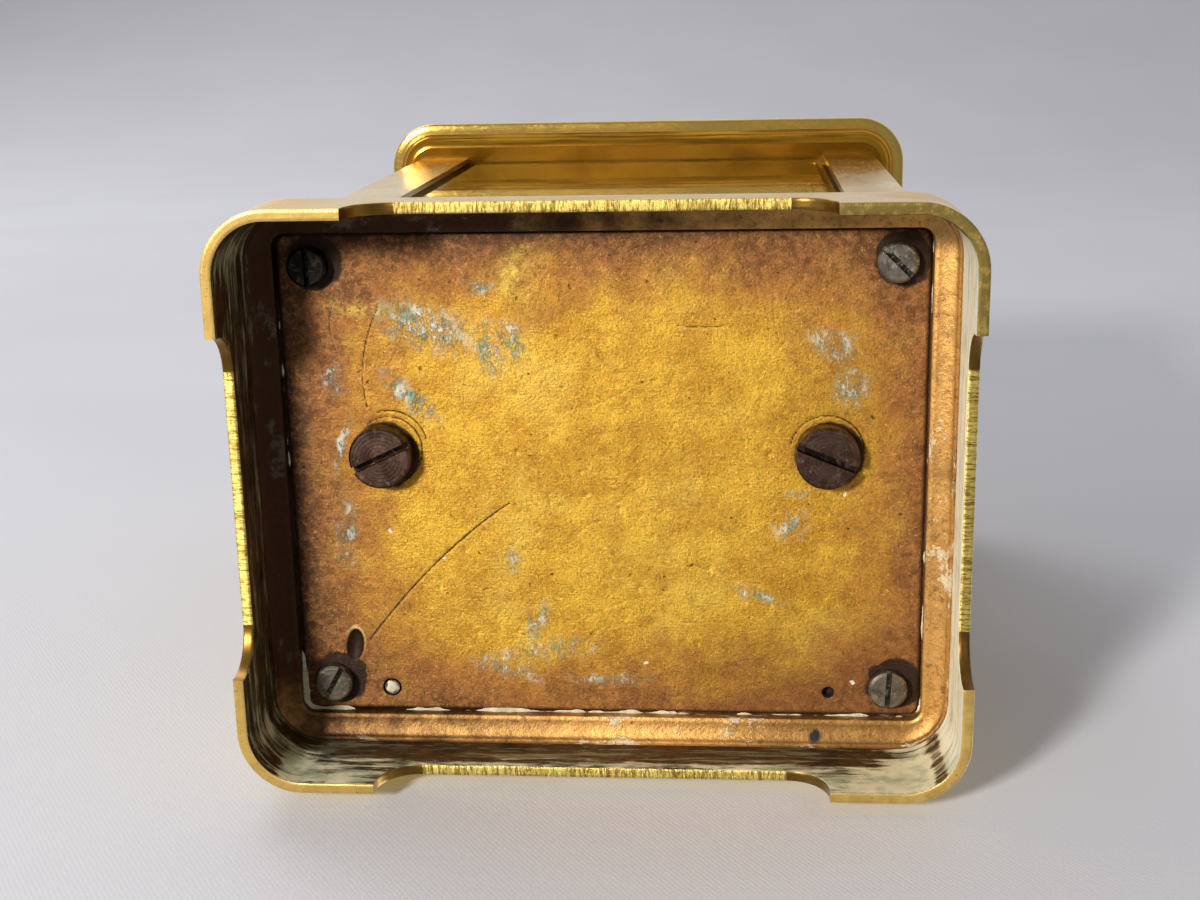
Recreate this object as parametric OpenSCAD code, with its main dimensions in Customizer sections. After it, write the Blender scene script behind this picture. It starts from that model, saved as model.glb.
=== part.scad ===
// Carriage clock, handle folded to the rear.
// Millimetres. Origin at the bottom centre of the feet, +Z up, dial towards -Y, +X to the right of the dial.

/* [Base] */
// Overall width of the base over the skirt
base_width = 80; // [76:0.5:96]
// Overall depth of the base over the skirt
base_depth = 64.6; // [62:0.2:78]
// Height of the base, feet to the top face the case stands on
base_height = 15.5; // [14.5:0.1:20]
// Height of the plain vertical part of the skirt
skirt_height = 9.9; // [7:0.1:10.5]
// Wall of the hollow skirt
skirt_wall = 1.25; // [0.9:0.05:2]
// Corner radius of the base
base_corner_r = 7; // [5:0.5:9]
// Inset of the base's top face from the skirt
base_top_inset = 2.4; // [2:0.1:3]
// Foot length along the front and rear
foot_length_x = 14.95; // [10:0.05:20]
// Foot length along the sides
foot_length_y = 13.35; // [9:0.05:17]
// Height of the cut-outs between the feet
recess_height = 5.15; // [3:0.05:7]
// Small upright step where a foot ends
recess_step = 0.6; // [0.3:0.1:1.2]
// Edge rounding of the feet
foot_edge = 0.2; // [0.1:0.05:0.4]

/* [Floor plate] */
// Thickness of the floor plate
floor_t = 1.6; // [1.2:0.1:2.4]
// Rim left round the floor plate, from the skirt
floor_inset = 4.1; // [3.6:0.1:5]
// Corner radius of the floor plate
floor_corner_r = 1.5; // [1:0.1:3]
// Depth of the step from the coved band to the plate
floor_step = 1.3; // [0.8:0.1:2]
// Height of the coved band inside the skirt
band_height = 1.2; // [0.8:0.1:2]
// Depth of the small blind hole at the rear right
blind_depth = 1.0; // [0.5:0.1:1.4]
// Radius of the small blind hole
blind_r = 0.63; // [0.4:0.01:0.9]

/* [Case] */
// Height of the pillars and glasses
case_height = 87.5; // [80:0.5:110]
// Side of the square pillars
pillar_w = 7.6; // [6:0.1:9]
// Inset of the pillars' outer faces from the skirt
pillar_inset = 4.0; // [3.6:0.1:5]
// Thickness of the glasses
glass_t = 2; // [1.5:0.1:2.6]
// Depth of the glass in its pillar grooves
groove_depth = 1.2; // [0.8:0.1:1.6]
// Glass set back from the pillars' outer faces
glass_setback = 0.8; // [0.6:0.1:1.4]
// Width of the bevel round a glass
bevel_w = 2.8; // [1:0.1:5]
// Depth of the bevel at the glass's edge
bevel_d = 0.7; // [0.3:0.1:1]
// Side clearance of a glass in its groove
glass_gap = 0.05; // [0.02:0.01:0.15]
// Radius of the pillars' top tenons
tenon_r = 1.5; // [1:0.1:2]
// Length of the pillars' top tenons
tenon_l = 3; // [2:0.5:5]

/* [Cap] */
// How far the cap's rim stands outside the skirt on each side
cap_overhang = 1.1; // [0.4:0.1:3]
// Height of the cap moulding
cap_height = 7.9; // [7:0.1:12]
// Corner radius of the cap's rim
cap_corner_r = 7; // [5.5:0.5:9]
// Half the gap left between the top window and the pillars' inner faces, each side
window_rim = 5; // [3:0.5:8]
// Thickness of the cap round the top window
window_t = 4; // [3:0.1:5]
// Width of the ledge that carries the top glass
window_ledge = 2; // [1:0.1:3]
// Thickness of the top glass
top_glass_t = 1.8; // [1.4:0.1:2.5]

/* [Screws under the base] */
// Head radius of the four pillar screws
pillar_screw_head_r = 2.2; // [1.8:0.1:2.6]
// Head height of the four pillar screws
pillar_screw_head_h = 1.5; // [1:0.1:2]
// Shank radius of the four pillar screws
pillar_screw_r = 1.4; // [1:0.1:1.8]
// Length of the pillar screws above the floor plate
pillar_screw_grip = 9; // [6:0.5:14]
// Head radius of the two movement screws
movement_screw_head_r = 3.5; // [2.8:0.1:4.2]
// Head height of the two movement screws
movement_screw_head_h = 2.5; // [1.5:0.1:3]
// Shank radius of the two movement screws
movement_screw_r = 1.6; // [1.2:0.1:2]
// Length of the movement screws above the floor plate
movement_screw_grip = 4.8; // [3:0.1:5.5]
// Radial gap between a screw's shank and its hole
screw_gap = 0.04; // [0.02:0.01:0.1]
// Slot width of the pillar screws
small_slot_w = 0.6; // [0.4:0.05:0.8]
// Slot width of the movement screws
big_slot_w = 0.8; // [0.5:0.05:1.1]
// Slot depth as a share of the head height
slot_share = 0.45; // [0.3:0.05:0.6]
// Slot angle of the front left pillar screw
slot_fl = 88; // [0:1:180]
// Slot angle of the front right pillar screw
slot_fr = 45; // [0:1:180]
// Slot angle of the rear left pillar screw
slot_rl = 120; // [0:1:180]
// Slot angle of the rear right pillar screw
slot_rr = 93; // [0:1:180]
// Slot angle of the left movement screw
slot_ml = 155; // [0:1:180]
// Slot angle of the right movement screw
slot_mr = 22; // [0:1:180]

/* [Handle] */
// Distance of each handle post from the side of the base
post_inset = 6; // [5:0.5:9]
// Height of the handle's pivot over the cap
pivot_rise = 2.7; // [2.6:0.1:4]
// Radius of the handle posts
post_r = 2.4; // [2:0.1:3]
// Reach of the handle from pivot to grip
handle_reach = 25; // [20:0.5:27]
// Radius of the handle's grip
grip_r = 2.2; // [1.6:0.1:2.5]
// Radius of the handle's arms
arm_r = 1.5; // [1.2:0.1:2]
// Bend radius between arm and grip
handle_bend = 6; // [4:0.5:9]
// Thickness of the eyes on the handle's ends
eye_t = 2.4; // [1.6:0.1:3]
// Radius of the eyes
eye_r = 2.3; // [1.8:0.1:2.5]
// Radius of the handle's pivot pins
handle_pin_r = 0.9; // [0.6:0.05:1.2]
// Gap between an eye and its post
eye_gap = 0.25; // [0.1:0.05:0.5]

/* [Rear door] */
// Thickness of the door frame
door_t = 4; // [3:0.1:4.6]
// Width of the door's stiles and rails
door_stile = 5.4; // [4.5:0.1:7]
// Gap between the door and the pillars
door_side_gap = 0.2; // [0.1:0.05:0.5]
// Gap above and below the door
door_end_gap = 0.4; // [0.2:0.05:0.8]
// Door set back from the pillars' rear faces
door_setback = 0.95; // [0.6:0.05:2]
// Radius of the door's hinge pins
door_pin_r = 0.88; // [0.6:0.02:1.1]
// Running clearance round a hinge pin
door_pin_gap = 0.07; // [0.03:0.01:0.1]
// Radius of the door knob
knob_r = 1.9; // [1.4:0.1:2.4]
// How far the knob stands out of the door
knob_out = 3.6; // [2.5:0.1:4]
// Height of the knob above the base's top face
knob_z = 43.5; // [30:0.5:60]

/* [Movement] */
// Room for the dial and hands, from the front glass to the front plate
dial_room = 8.8; // [8.5:0.1:10]
// Distance between the plates
plate_gap = 24; // [23.5:0.5:26]
// Thickness of the plates
plate_t = 1.6; // [1.2:0.1:2]
// Height of the plates
plate_height = 64.5; // [64:0.5:70]
// Gap between the plates and the pillars' inner line, each side
plate_side_gap = 0.3; // [0.2:0.1:6]
// Distance of the plate pillars from the middle
pillar_post_x = 24.9; // [24:0.1:25.2]
// Radius of the plate pillars
pillar_post_r = 2.5; // [2:0.1:3]
// Width of the feet blocks the movement screws enter
foot_block = 6.2; // [5:0.1:6.4]
// Height of the feet blocks
foot_block_h = 6.6; // [5.5:0.1:8]
// Shank radius of the plate screws
plate_screw_r = 1; // [0.7:0.05:1.3]
// Head radius of the plate screws
plate_screw_head_r = 1.9; // [1.4:0.1:2.2]
// Head height of the plate screws
plate_screw_head_h = 0.9; // [0.6:0.1:1.4]
// Running clearance round a pivot
pivot_gap = 0.05; // [0.02:0.01:0.1]
// End play of an arbor at each plate
end_play = 0.15; // [0.05:0.05:0.3]

/* [Train] */
// Height of the centre arbor above the base's top face
centre_z = 44.5; // [44:0.1:46]
// Barrel, sideways place
barrel_x = -11; // [-12:0.1:-10]
// Barrel, height above the base's top face
barrel_z = 19; // [18.6:0.1:19.6]
// Contrate arbor, sideways place
contrate_x = 8; // [7.8:0.1:8.4]
// Contrate arbor, height above the base's top face
contrate_z = 54; // [53.8:0.1:54.2]
// Tooth size of barrel and intermediate pinion
barrel_module = 0.32; // [0.31:0.005:0.325]
// Tooth size of intermediate wheel and centre pinion
intermediate_module = 0.34; // [0.335:0.005:0.345]
// Tooth size of centre wheel and third pinion
centre_module = 0.26; // [0.255:0.005:0.265]
// Tooth size of third wheel and contrate pinion
third_module = 0.29; // [0.285:0.005:0.295]
// Tooth size of contrate wheel and escape pinion
contrate_module = 0.30; // [0.295:0.005:0.305]
// Thickness of the train wheels
wheel_t = 0.8; // [0.6:0.1:1]
// Depth of a wheel's rim under its teeth
rim_depth = 0.9; // [0.6:0.1:1.4]
// Width of a wheel's spokes
spoke_w = 1.0; // [0.7:0.1:1.6]
// Radius of the light arbors
arbor_r = 0.6; // [0.45:0.05:0.64]
// Radius of the intermediate arbor
strong_arbor_r = 0.9; // [0.7:0.05:1.2]
// Radius of the light pivots
pivot_r = 0.4; // [0.3:0.05:0.5]
// Outside radius of the hollow centre arbor
tube_r = 1.3; // [1.2:0.05:1.4]
// Wall of the barrel
barrel_wall = 0.8; // [0.6:0.1:1.2]
// Depth of the barrel
barrel_depth = 15; // [12:0.5:15.2]
// Width of the barrel's toothed ring
barrel_tooth_w = 2; // [1.4:0.1:2.4]
// Thickness of the barrel's ends
barrel_end = 1; // [0.7:0.1:1.4]
// Radius of the barrel arbor
barrel_arbor_r = 2.2; // [1.8:0.1:2.4]
// Radius of the arbor's hub inside the barrel
hub_r = 3.2; // [2.8:0.1:4]
// Thickness of the mainspring
mainspring_t = 0.45; // [0.3:0.05:0.5]
// Turns of the mainspring drawn
mainspring_turns = 6; // [4:1:7]

/* [Winding] */
// Across the flats of the winding square
winding_square = 2.6; // [2:0.1:3]
// How far the winding square stands behind the back plate
winding_out = 10.5; // [8:0.5:11]
// Tip radius of the ratchet wheel
ratchet_r = 6.5; // [6:0.1:7]
// Depth of the ratchet teeth
ratchet_depth = 0.8; // [0.6:0.1:1]
// Thickness of the ratchet wheel
ratchet_t = 1.2; // [0.8:0.1:1.6]
// Radius of the click's pivot
click_pin_r = 0.8; // [0.6:0.05:1]

/* [Hands and dial] */
// Visible radius of the dial
dial_r = 22.8; // [20:0.1:24]
// Thickness of the dial
dial_t = 1; // [0.7:0.1:1.3]
// Thickness of the gilt mask
mask_t = 0.6; // [0.4:0.1:0.8]
// Space between the front plate and the dial
dial_space = 3.7; // [3.6:0.1:4]
// Length of the minute hand
minute_hand_l = 20; // [16:0.5:21.5]
// Length of the hour hand
hour_hand_l = 13; // [10:0.5:15]
// Thickness of the hands
hand_t = 0.35; // [0.25:0.05:0.5]
// Hour shown
hour_shown = 10; // [0:1:11]
// Minute shown
minute_shown = 10; // [0:1:59]
// Across the flats of the hand-setting square
setting_square = 1.1; // [0.9:0.1:1.2]
// How far the setting square stands behind the back plate
setting_out = 6; // [4:0.5:9]
// Tooth size of cannon pinion and minute wheel
cannon_module = 0.3; // [0.295:0.005:0.305]

/* [Platform] */
// Thickness of the platform
platform_t = 1.2; // [0.9:0.1:1.5]
// Left end of the platform from the middle
platform_left = 20.5; // [20:0.1:22]
// Right end of the platform from the middle
platform_right = 16.5; // [16.4:0.1:20]
// Radius of the escape wheel
escape_r = 4.2; // [3.8:0.1:4.3]
// Distance from escape arbor to pallet arbor
escape_to_lever = 4.9; // [4.8:0.05:5.1]
// Distance from pallet arbor to balance staff
lever_to_balance = 8.5; // [8.3:0.1:8.8]
// Outside radius of the balance
balance_r = 8.2; // [7.2:0.1:8.4]
// Width of the balance's rim
balance_rim = 1; // [0.7:0.1:1.4]
// Thickness of the balance
balance_t = 0.8; // [0.5:0.1:1]
// Height of the balance over the platform
balance_rise = 4.3; // [4.2:0.1:5]
// Radius of the balance staff
staff_r = 0.5; // [0.35:0.05:0.6]
// Thickness of the hairspring
hairspring_t = 0.12; // [0.08:0.02:0.16]
// Turns of the hairspring drawn
hairspring_turns = 8; // [5:1:10]
// Thickness of the bridge and the cock
bridge_t = 1; // [0.8:0.1:1.3]

/* [Hidden] */
$fn = 96;
cut = 0.5;
half_w = base_width/2;
half_d = base_depth/2;
post_x = half_w - post_inset;
floor_z = base_height - floor_t;
case_top = base_height + case_height;
cap_width = base_width + 2*cap_overhang;
cap_depth = base_depth + 2*cap_overhang + 0.4;
cap_top = case_top + cap_height;
pillar_ox = half_w - pillar_inset - 0.1;
pillar_oy = half_d - pillar_inset;
pillar_cx = pillar_ox - pillar_w/2;
pillar_cy = pillar_oy - pillar_w/2;
inner_x = pillar_ox - pillar_w;
inner_y = pillar_oy - pillar_w;
front_glass_y = -(pillar_oy - glass_setback);
side_glass_x = pillar_ox - glass_setback;
window_x = inner_x - window_rim;
window_y = inner_y - window_rim;
glass_ledge_z = cap_top - top_glass_t - 0.2;
pivot_z = cap_top + pivot_rise;
eye_x = post_x - post_r - eye_gap - eye_t/2;

door_y = pillar_oy - door_setback - door_t/2;
door_hx = -(inner_x - door_side_gap - door_stile/2);
door_edge = inner_x - door_side_gap;
door_z0 = base_height + door_end_gap;
door_z1 = case_top - door_end_gap;

movement_y = front_glass_y + glass_t + dial_room + plate_t + plate_gap/2;
front_in = movement_y - plate_gap/2;
back_in = movement_y + plate_gap/2;
front_out = front_in - plate_t;
back_out = back_in + plate_t;
winding_reach = min(winding_out, door_y - door_t/2 - 1.5 - back_out);
plate_half = min(inner_x - plate_side_gap, 28);
plate_top = base_height + plate_height;
upper_post_z = plate_top - 3.8;
lower_post_z = base_height + 3.6;

centre_p = [0, base_height + centre_z];
barrel_p = [barrel_x, base_height + barrel_z];
contrate_p = [contrate_x, base_height + contrate_z];
function apart(a, b) = norm(b - a);
// point at distance ra from a and rb from b, on the right-hand side of a to b
function meet(a, b, ra, rb) =
    let (d = apart(a, b), u = (b - a)/d, k = (ra*ra - rb*rb + d*d)/(2*d), h = sqrt(ra*ra - k*k))
        a + k*u + h*[u[1], -u[0]];
function dir(a, b) = atan2(b[1] - a[1], b[0] - a[0]);
barrel_n = 84;
intermediate_pn = 14;
intermediate_n = 64;
centre_pn = 12;
centre_n = 80;
third_pn = 8;
third_n = 64;
contrate_pn = 8;
contrate_n = 60;
escape_pn = 8;
cannon_n = 12;
minute_n = 36;
minute_pn = 10;
hour_n = 40;
motion_d = cannon_module*(cannon_n + minute_n)/2;
hour_module = 2*motion_d/(minute_pn + hour_n);
intermediate_p = meet(barrel_p, centre_p, barrel_module*(barrel_n + intermediate_pn)/2,
    intermediate_module*(intermediate_n + centre_pn)/2);
third_p = meet(centre_p, contrate_p, centre_module*(centre_n + third_pn)/2,
    third_module*(third_n + contrate_pn)/2);
minute_p = centre_p + motion_d*[cos(210), sin(210)];
// addendum, dedendum, tooth width at the pitch line, the tip and the root, as shares of module and pitch
wheel_form = [1.0, 1.35, 0.44, 0.14, 0.50];
pinion_form = [0.75, 1.5, 0.34, 0.16, 0.30];
// places between the plates, measured back from the front plate's inner face
centre_wheel_v = 4;
third_wheel_v = 8;
contrate_wheel_v = 10.9;
barrel_v = 3;
intermediate_wheel_v = 20.3;
crown_r = contrate_module*contrate_n/2;
escape_v = 14;
escape_x = contrate_x;
escape_y = front_in + escape_v;
lever_x = escape_x - escape_to_lever;
balance_x = lever_x - lever_to_balance;
platform_z = plate_top + platform_t;
lever_z = platform_z + 1.0;
bridge_z = platform_z + 2.6;
balance_z = platform_z + balance_rise;
hairspring_z = balance_z + balance_t + 0.8;
cock_z = hairspring_z + 1.1;
tube_bore = tube_r - 0.45;
set_r = tube_bore - pivot_gap;
cannon_r = set_r + 0.4;
hour_bore = cannon_r + pivot_gap;
hour_pipe_r = hour_bore + 0.5;
dial_back = front_out - dial_space;
dial_front = dial_back - dial_t;
mask_front = dial_front - mask_t - 0.05;
hour_hand_y = mask_front - 0.45;
minute_hand_y = hour_hand_y - hand_t - 0.7;
mask_half = inner_x - 0.4;
hour_angle = 30*hour_shown + minute_shown/2;
minute_angle = 6*minute_shown;

gold = [0.83, 0.66, 0.30];
brass = [0.78, 0.62, 0.32];
copper = [0.62, 0.42, 0.22];
steel = [0.55, 0.54, 0.52];
dark_steel = [0.36, 0.31, 0.26];
blue_steel = [0.10, 0.14, 0.38];
glass = [0.72, 0.86, 0.80, 0.45];
enamel = [0.95, 0.94, 0.90];

// ---- helpers ----

// block w by d with rounded corners whose outside follows pts = [inset, height], bottom to top
module moulded(w, d, r, pts) {
    last = len(pts) - 1;
    outline = concat([[0, pts[0][1]]], [for (p = pts) [r - p[0], p[1]]], [[0, pts[last][1]]]);
    cx = w/2 - r;
    cy = d/2 - r;
    for (q = [[1, 1, 0], [-1, 1, 90], [-1, -1, 180], [1, -1, 270]]) {
        translate([q[0]*cx, q[1]*cy, 0])
            rotate([0, 0, q[2]])
                rotate_extrude(angle = 90)
                    polygon(outline);
    }
    for (a = [0, 180]) {
        rotate([0, 0, a])
            translate([cx, cy, 0])
                rotate([90, 0, 0])
                    linear_extrude(2*cy)
                        polygon(outline);
        rotate([0, 0, a + 90])
            translate([cy, cx, 0])
                rotate([90, 0, 0])
                    linear_extrude(2*cx)
                        polygon(outline);
    }
    translate([-cx, -cy, pts[0][1]])
        cube([2*cx, 2*cy, pts[last][1] - pts[0][1]]);
}

// box given by two corners
module box(a, b) {
    translate(a)
        cube(b - a);
}

// turns children so their z runs to the front, starting at depth y over the point p = [x, z]
module on_axis(p, y) {
    translate([p[0], y, p[1]])
        rotate([90, 0, 0])
            children();
}

function tooth_points(n, m, f, phase) = [
    for (i = [0:n - 1])
        for (q = [[-f[4]/2, -f[1]], [-f[2]/2, 0], [-f[3]/2, f[0]], [f[3]/2, f[0]], [f[2]/2, 0], [f[4]/2, -f[1]]])
            let (r = m*(n/2 + q[1]), a = phase + 360/n*(i + q[0]))
                [r*cos(a), r*sin(a)]
];

module bore(r, h) {
    translate([0, 0, -cut])
        cylinder(r = r, h = h + 2*cut);
}

module spoked_wheel(n, m, t, phase, hub, hole, spokes) {
    rim_r = m*(n/2 - wheel_form[1]) - rim_depth;
    difference() {
        union() {
            difference() {
                linear_extrude(t)
                    polygon(tooth_points(n, m, wheel_form, phase));
                bore(rim_r, t);
            }
            cylinder(r = hub, h = t);
            for (i = [0:spokes - 1])
                rotate([0, 0, 360/spokes*i + 20])
                    translate([0, -spoke_w/2, 0])
                        cube([rim_r + 0.3, spoke_w, t]);
        }
        bore(hole, t);
    }
}

module pinion(n, m, t, phase) {
    linear_extrude(t)
        polygon(tooth_points(n, m, pinion_form, phase));
}

// arbor between the plates with a pivot in each
module arbor(p, r, pr) {
    on_axis(p, back_in - end_play)
        cylinder(r = r, h = plate_gap - 2*end_play);
    on_axis(p, back_out)
        cylinder(r = pr, h = plate_gap + 2*plate_t);
}

// a gear drawn between depths v0 and v1 behind the front plate
module between(p, v0, v1) {
    on_axis(p, front_in + v1)
        children();
}

module bevelled(w, h, t, bw, bd) {
    difference() {
        translate([-w/2, -h/2, 0])
            cube([w, h, t]);
        for (s = [[w, h, 0], [h, w, 90], [w, h, 180], [h, w, 270]])
            rotate([0, 0, s[2]])
                translate([-s[0]/2 - cut, s[1]/2, 0])
                    rotate([90, 0, 90])
                        linear_extrude(s[0] + 2*cut)
                            polygon([[cut, t - bd*(1 + cut/bw)], [cut, t + cut], [-bw, t + cut], [-bw, t]]);
    }
}

module slotted_head(r, h, slot_w, angle, share) {
    difference() {
        rotate_extrude()
            polygon([[0, 0], [r, 0], [r, h - 0.25], [r - 0.25, h], [0, h]]);
        rotate([0, 0, angle])
            translate([-r - cut, -slot_w/2, h*(1 - share)])
                cube([2*r + 2*cut, slot_w, h]);
    }
}

// screw entering upward from below, its head hanging under the height z
module under_screw(x, y, z, hr, hh, r, l, slot_w, angle) {
    translate([x, y, z])
        rotate([180, 0, 0])
            slotted_head(hr, hh, slot_w, -angle, slot_share);
    translate([x, y, z - 0.3])
        cylinder(r = r, h = l + 0.3);
}

module spiral(r0, r1, turns, t, h) {
    steps = 24*turns;
    function at(i, k) =
        let (r = r0 + (r1 - r0)*i/steps + k*t/2, a = 15*i)
            [r*cos(a), r*sin(a)];
    linear_extrude(h)
        polygon(concat([for (i = [0:steps]) at(i, 1)], [for (i = [steps:-1:0]) at(i, -1)]));
}

// ---- base ----

module foot_recess(half, depth) {
    curve = recess_height - recess_step;
    run = half - curve;
    rotate([90, 0, 0])
        translate([0, 0, -depth]) {
            linear_extrude(2*depth) {
                polygon([[-half, -cut], [half, -cut], [half, recess_step], [-half, recess_step]]);
                polygon([[-run, 0], [run, 0], [run, recess_height], [-run, recess_height]]);
            }
            for (s = [-1, 1])
                translate([s*run, recess_step, 0])
                    cylinder(r = curve, h = 2*depth);
        }
}

module base_moulding() {
    z1 = skirt_height;
    top = base_height;
    k = base_top_inset;
    band_z = floor_z - floor_step;
    reach = floor_inset - skirt_wall;
    color(gold)
        difference() {
            moulded(base_width, base_depth, base_corner_r, [
                [foot_edge, 0], [0, foot_edge], [0, z1], [0.3, z1 + 0.3], [0.3, z1 + 0.8],
                [0.16*k, z1 + 1.4], [0.26*k, z1 + 2], [0.4*k, z1 + 2.6], [0.58*k, z1 + 3.05],
                [0.82*k, z1 + 3.4], [0.82*k, z1 + 3.9], [k, z1 + 4.2], [k, top]]);
            moulded(base_width - 2*skirt_wall, base_depth - 2*skirt_wall, base_corner_r - skirt_wall, [
                [0, -cut], [0, band_z - band_height], [0.12*reach, band_z - 0.75*band_height],
                [0.4*reach, band_z - 0.3*band_height], [reach, band_z], [reach, band_z + 0.1]]);
            moulded(base_width - 2*floor_inset, base_depth - 2*floor_inset, floor_corner_r,
                [[0, band_z], [0, top + cut]]);
            foot_recess(half_w - foot_length_x, base_depth);
            rotate([0, 0, 90])
                foot_recess(half_d - foot_length_y, base_width);
        }
}

module floor_plate() {
    color(copper)
        difference() {
            moulded(base_width - 2*floor_inset, base_depth - 2*floor_inset, floor_corner_r,
                [[0, floor_z], [0, base_height]]);
            for (sx = [-1, 1]) {
                for (sy = [-1, 1])
                    translate([sx*pillar_cx, sy*pillar_cy, floor_z])
                        bore(pillar_screw_r + screw_gap, floor_t);
                translate([sx*pillar_post_x, movement_y, floor_z])
                    bore(movement_screw_r + screw_gap, floor_t);
            }
            translate([door_hx, door_y, floor_z])
                bore(door_pin_r + door_pin_gap, floor_t);
            translate([-door_hx, door_y, floor_z - cut])
                cylinder(r = blind_r, h = blind_depth + cut);
        }
}

module pillar_screws() {
    color(dark_steel)
        for (s = [[-1, -1, slot_fl], [1, -1, slot_fr], [-1, 1, slot_rl], [1, 1, slot_rr]])
            under_screw(s[0]*pillar_cx, s[1]*pillar_cy, floor_z, pillar_screw_head_r, pillar_screw_head_h,
                pillar_screw_r, floor_t + pillar_screw_grip, small_slot_w, s[2]);
}

module movement_screws() {
    color(dark_steel)
        for (s = [[-1, slot_ml], [1, slot_mr]])
            under_screw(s[0]*pillar_post_x, movement_y, floor_z, movement_screw_head_r,
                movement_screw_head_h, movement_screw_r, floor_t + movement_screw_grip, big_slot_w, s[1]);
}

// ---- case ----

module corner_pillar(sx, sy) {
    gt = glass_t + 2*glass_gap;
    color(gold)
        difference() {
            union() {
                translate([sx*pillar_cx - pillar_w/2, sy*pillar_cy - pillar_w/2, base_height])
                    cube([pillar_w, pillar_w, case_height]);
                translate([sx*pillar_cx, sy*pillar_cy, case_top - cut])
                    cylinder(r = tenon_r, h = tenon_l + cut);
            }
            translate([sx*pillar_cx, sy*pillar_cy, base_height - cut])
                cylinder(r = pillar_screw_r + screw_gap, h = pillar_screw_grip + 1 + cut);
            // groove for the side glass
            translate([sx*(side_glass_x - glass_t/2) - gt/2, sy*(inner_y + groove_depth/2) - groove_depth,
                base_height - cut])
                cube([gt, 2*groove_depth, case_height + cut + 0.01]);
            // groove for the front glass
            if (sy < 0)
                translate([sx*(inner_x + groove_depth/2) - groove_depth,
                    front_glass_y + glass_t/2 - gt/2, base_height - cut])
                    cube([2*groove_depth, gt, case_height + cut + 0.01]);
        }
}

module front_left_pillar() {
    corner_pillar(-1, -1);
}

module front_right_pillar() {
    corner_pillar(1, -1);
}

module rear_left_pillar() {
    corner_pillar(-1, 1);
}

module rear_right_pillar() {
    corner_pillar(1, 1);
}

module front_glass() {
    color(glass)
        translate([0, front_glass_y + glass_t, base_height + case_height/2])
            rotate([90, 0, 0])
                bevelled(2*(inner_x + groove_depth), case_height, glass_t, bevel_w, bevel_d);
}

module side_glass(s) {
    color(glass)
        translate([s*(side_glass_x - glass_t), 0, base_height + case_height/2])
            rotate([90, 0, s*90])
                bevelled(2*(inner_y + groove_depth), case_height, glass_t, bevel_w, bevel_d);
}

module left_glass() {
    side_glass(-1);
}

module right_glass() {
    side_glass(1);
}

module top_cap() {
    z = case_top;
    z2 = cap_top;
    color(gold)
        difference() {
            moulded(cap_width, cap_depth, cap_corner_r, [
                [3.6, z], [3.6, z + 0.3], [3.2, z + 0.38], [2.7, z + 0.65], [2.2, z + 1.1], [1.8, z + 1.7],
                [1.6, z + 2.0], [1.35, z + 2.0], [1.35, z + 2.3], [0.3, z + 2.35], [0, z + 2.65],
                [0, z2 - 3.5], [0.3, z2 - 3.2], [0.9, z2 - 3.1], [0.9, z2 - 2.7], [1.2, z2 - 2.2],
                [1.8, z2 - 1.7], [2.6, z2 - 1.4], [2.6, z2 - 1.1], [3.4, z2 - 1.0], [3.7, z2 - 0.7],
                [3.7, z2 - 0.2], [3.9, z2]]);
            box([-inner_x - 0.2, -inner_y - 0.2, z - cut], [inner_x + 0.2, inner_y + 0.2, z2 - window_t]);
            box([-window_x, -window_y, z], [window_x, window_y, z2 + cut]);
            box([-window_x - window_ledge, -window_y - window_ledge, glass_ledge_z],
                [window_x + window_ledge, window_y + window_ledge, z2 + cut]);
            for (sx = [-1, 1]) {
                for (sy = [-1, 1])
                    translate([sx*pillar_cx, sy*pillar_cy, z - cut])
                        cylinder(r = tenon_r, h = tenon_l + cut);
                translate([sx*post_x, 0, z2 - 2.5])
                    cylinder(r = post_r/2, h = 2.5 + cut);
            }
            translate([door_hx, door_y, z - cut])
                cylinder(r = door_pin_r + door_pin_gap, h = 2.4 + cut);
        }
}

module top_glass() {
    color(glass)
        translate([0, 0, glass_ledge_z])
            bevelled(2*(window_x + window_ledge) - 0.1, 2*(window_y + window_ledge) - 0.1,
                top_glass_t, bevel_w + 1, bevel_d);
}

// ---- handle ----

module handle_posts() {
    h = pivot_rise + eye_r;
    color(gold)
        for (s = [-1, 1])
            difference() {
                translate([s*post_x, 0, cap_top])
                    union() {
                        translate([0, 0, -2.4])
                            cylinder(r = post_r/2, h = 2.4);
                        rotate_extrude()
                            polygon([[0, 0], [post_r + 0.4, 0], [post_r + 0.4, 0.4], [post_r, 0.6],
                                [post_r - 0.3, 0.9], [post_r, 1.3], [post_r, h - 0.6],
                                [post_r - 0.3, h - 0.15], [post_r - 0.9, h], [0, h]]);
                    }
                translate([s*(post_x - post_r - cut), 0, pivot_z])
                    rotate([0, s*90, 0])
                        cylinder(r = handle_pin_r, h = post_r + 1.4 + cut);
            }
}

module handle_pivots() {
    color(steel)
        for (s = [-1, 1])
            translate([s*(eye_x - eye_t/2 - 0.3), 0, pivot_z])
                rotate([0, s*90, 0]) {
                    cylinder(r = handle_pin_r, h = eye_t + 0.3 + eye_gap + post_r + 1);
                    translate([0, 0, -0.5])
                        cylinder(r = handle_pin_r + 0.5, h = 0.5);
                }
}

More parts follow.
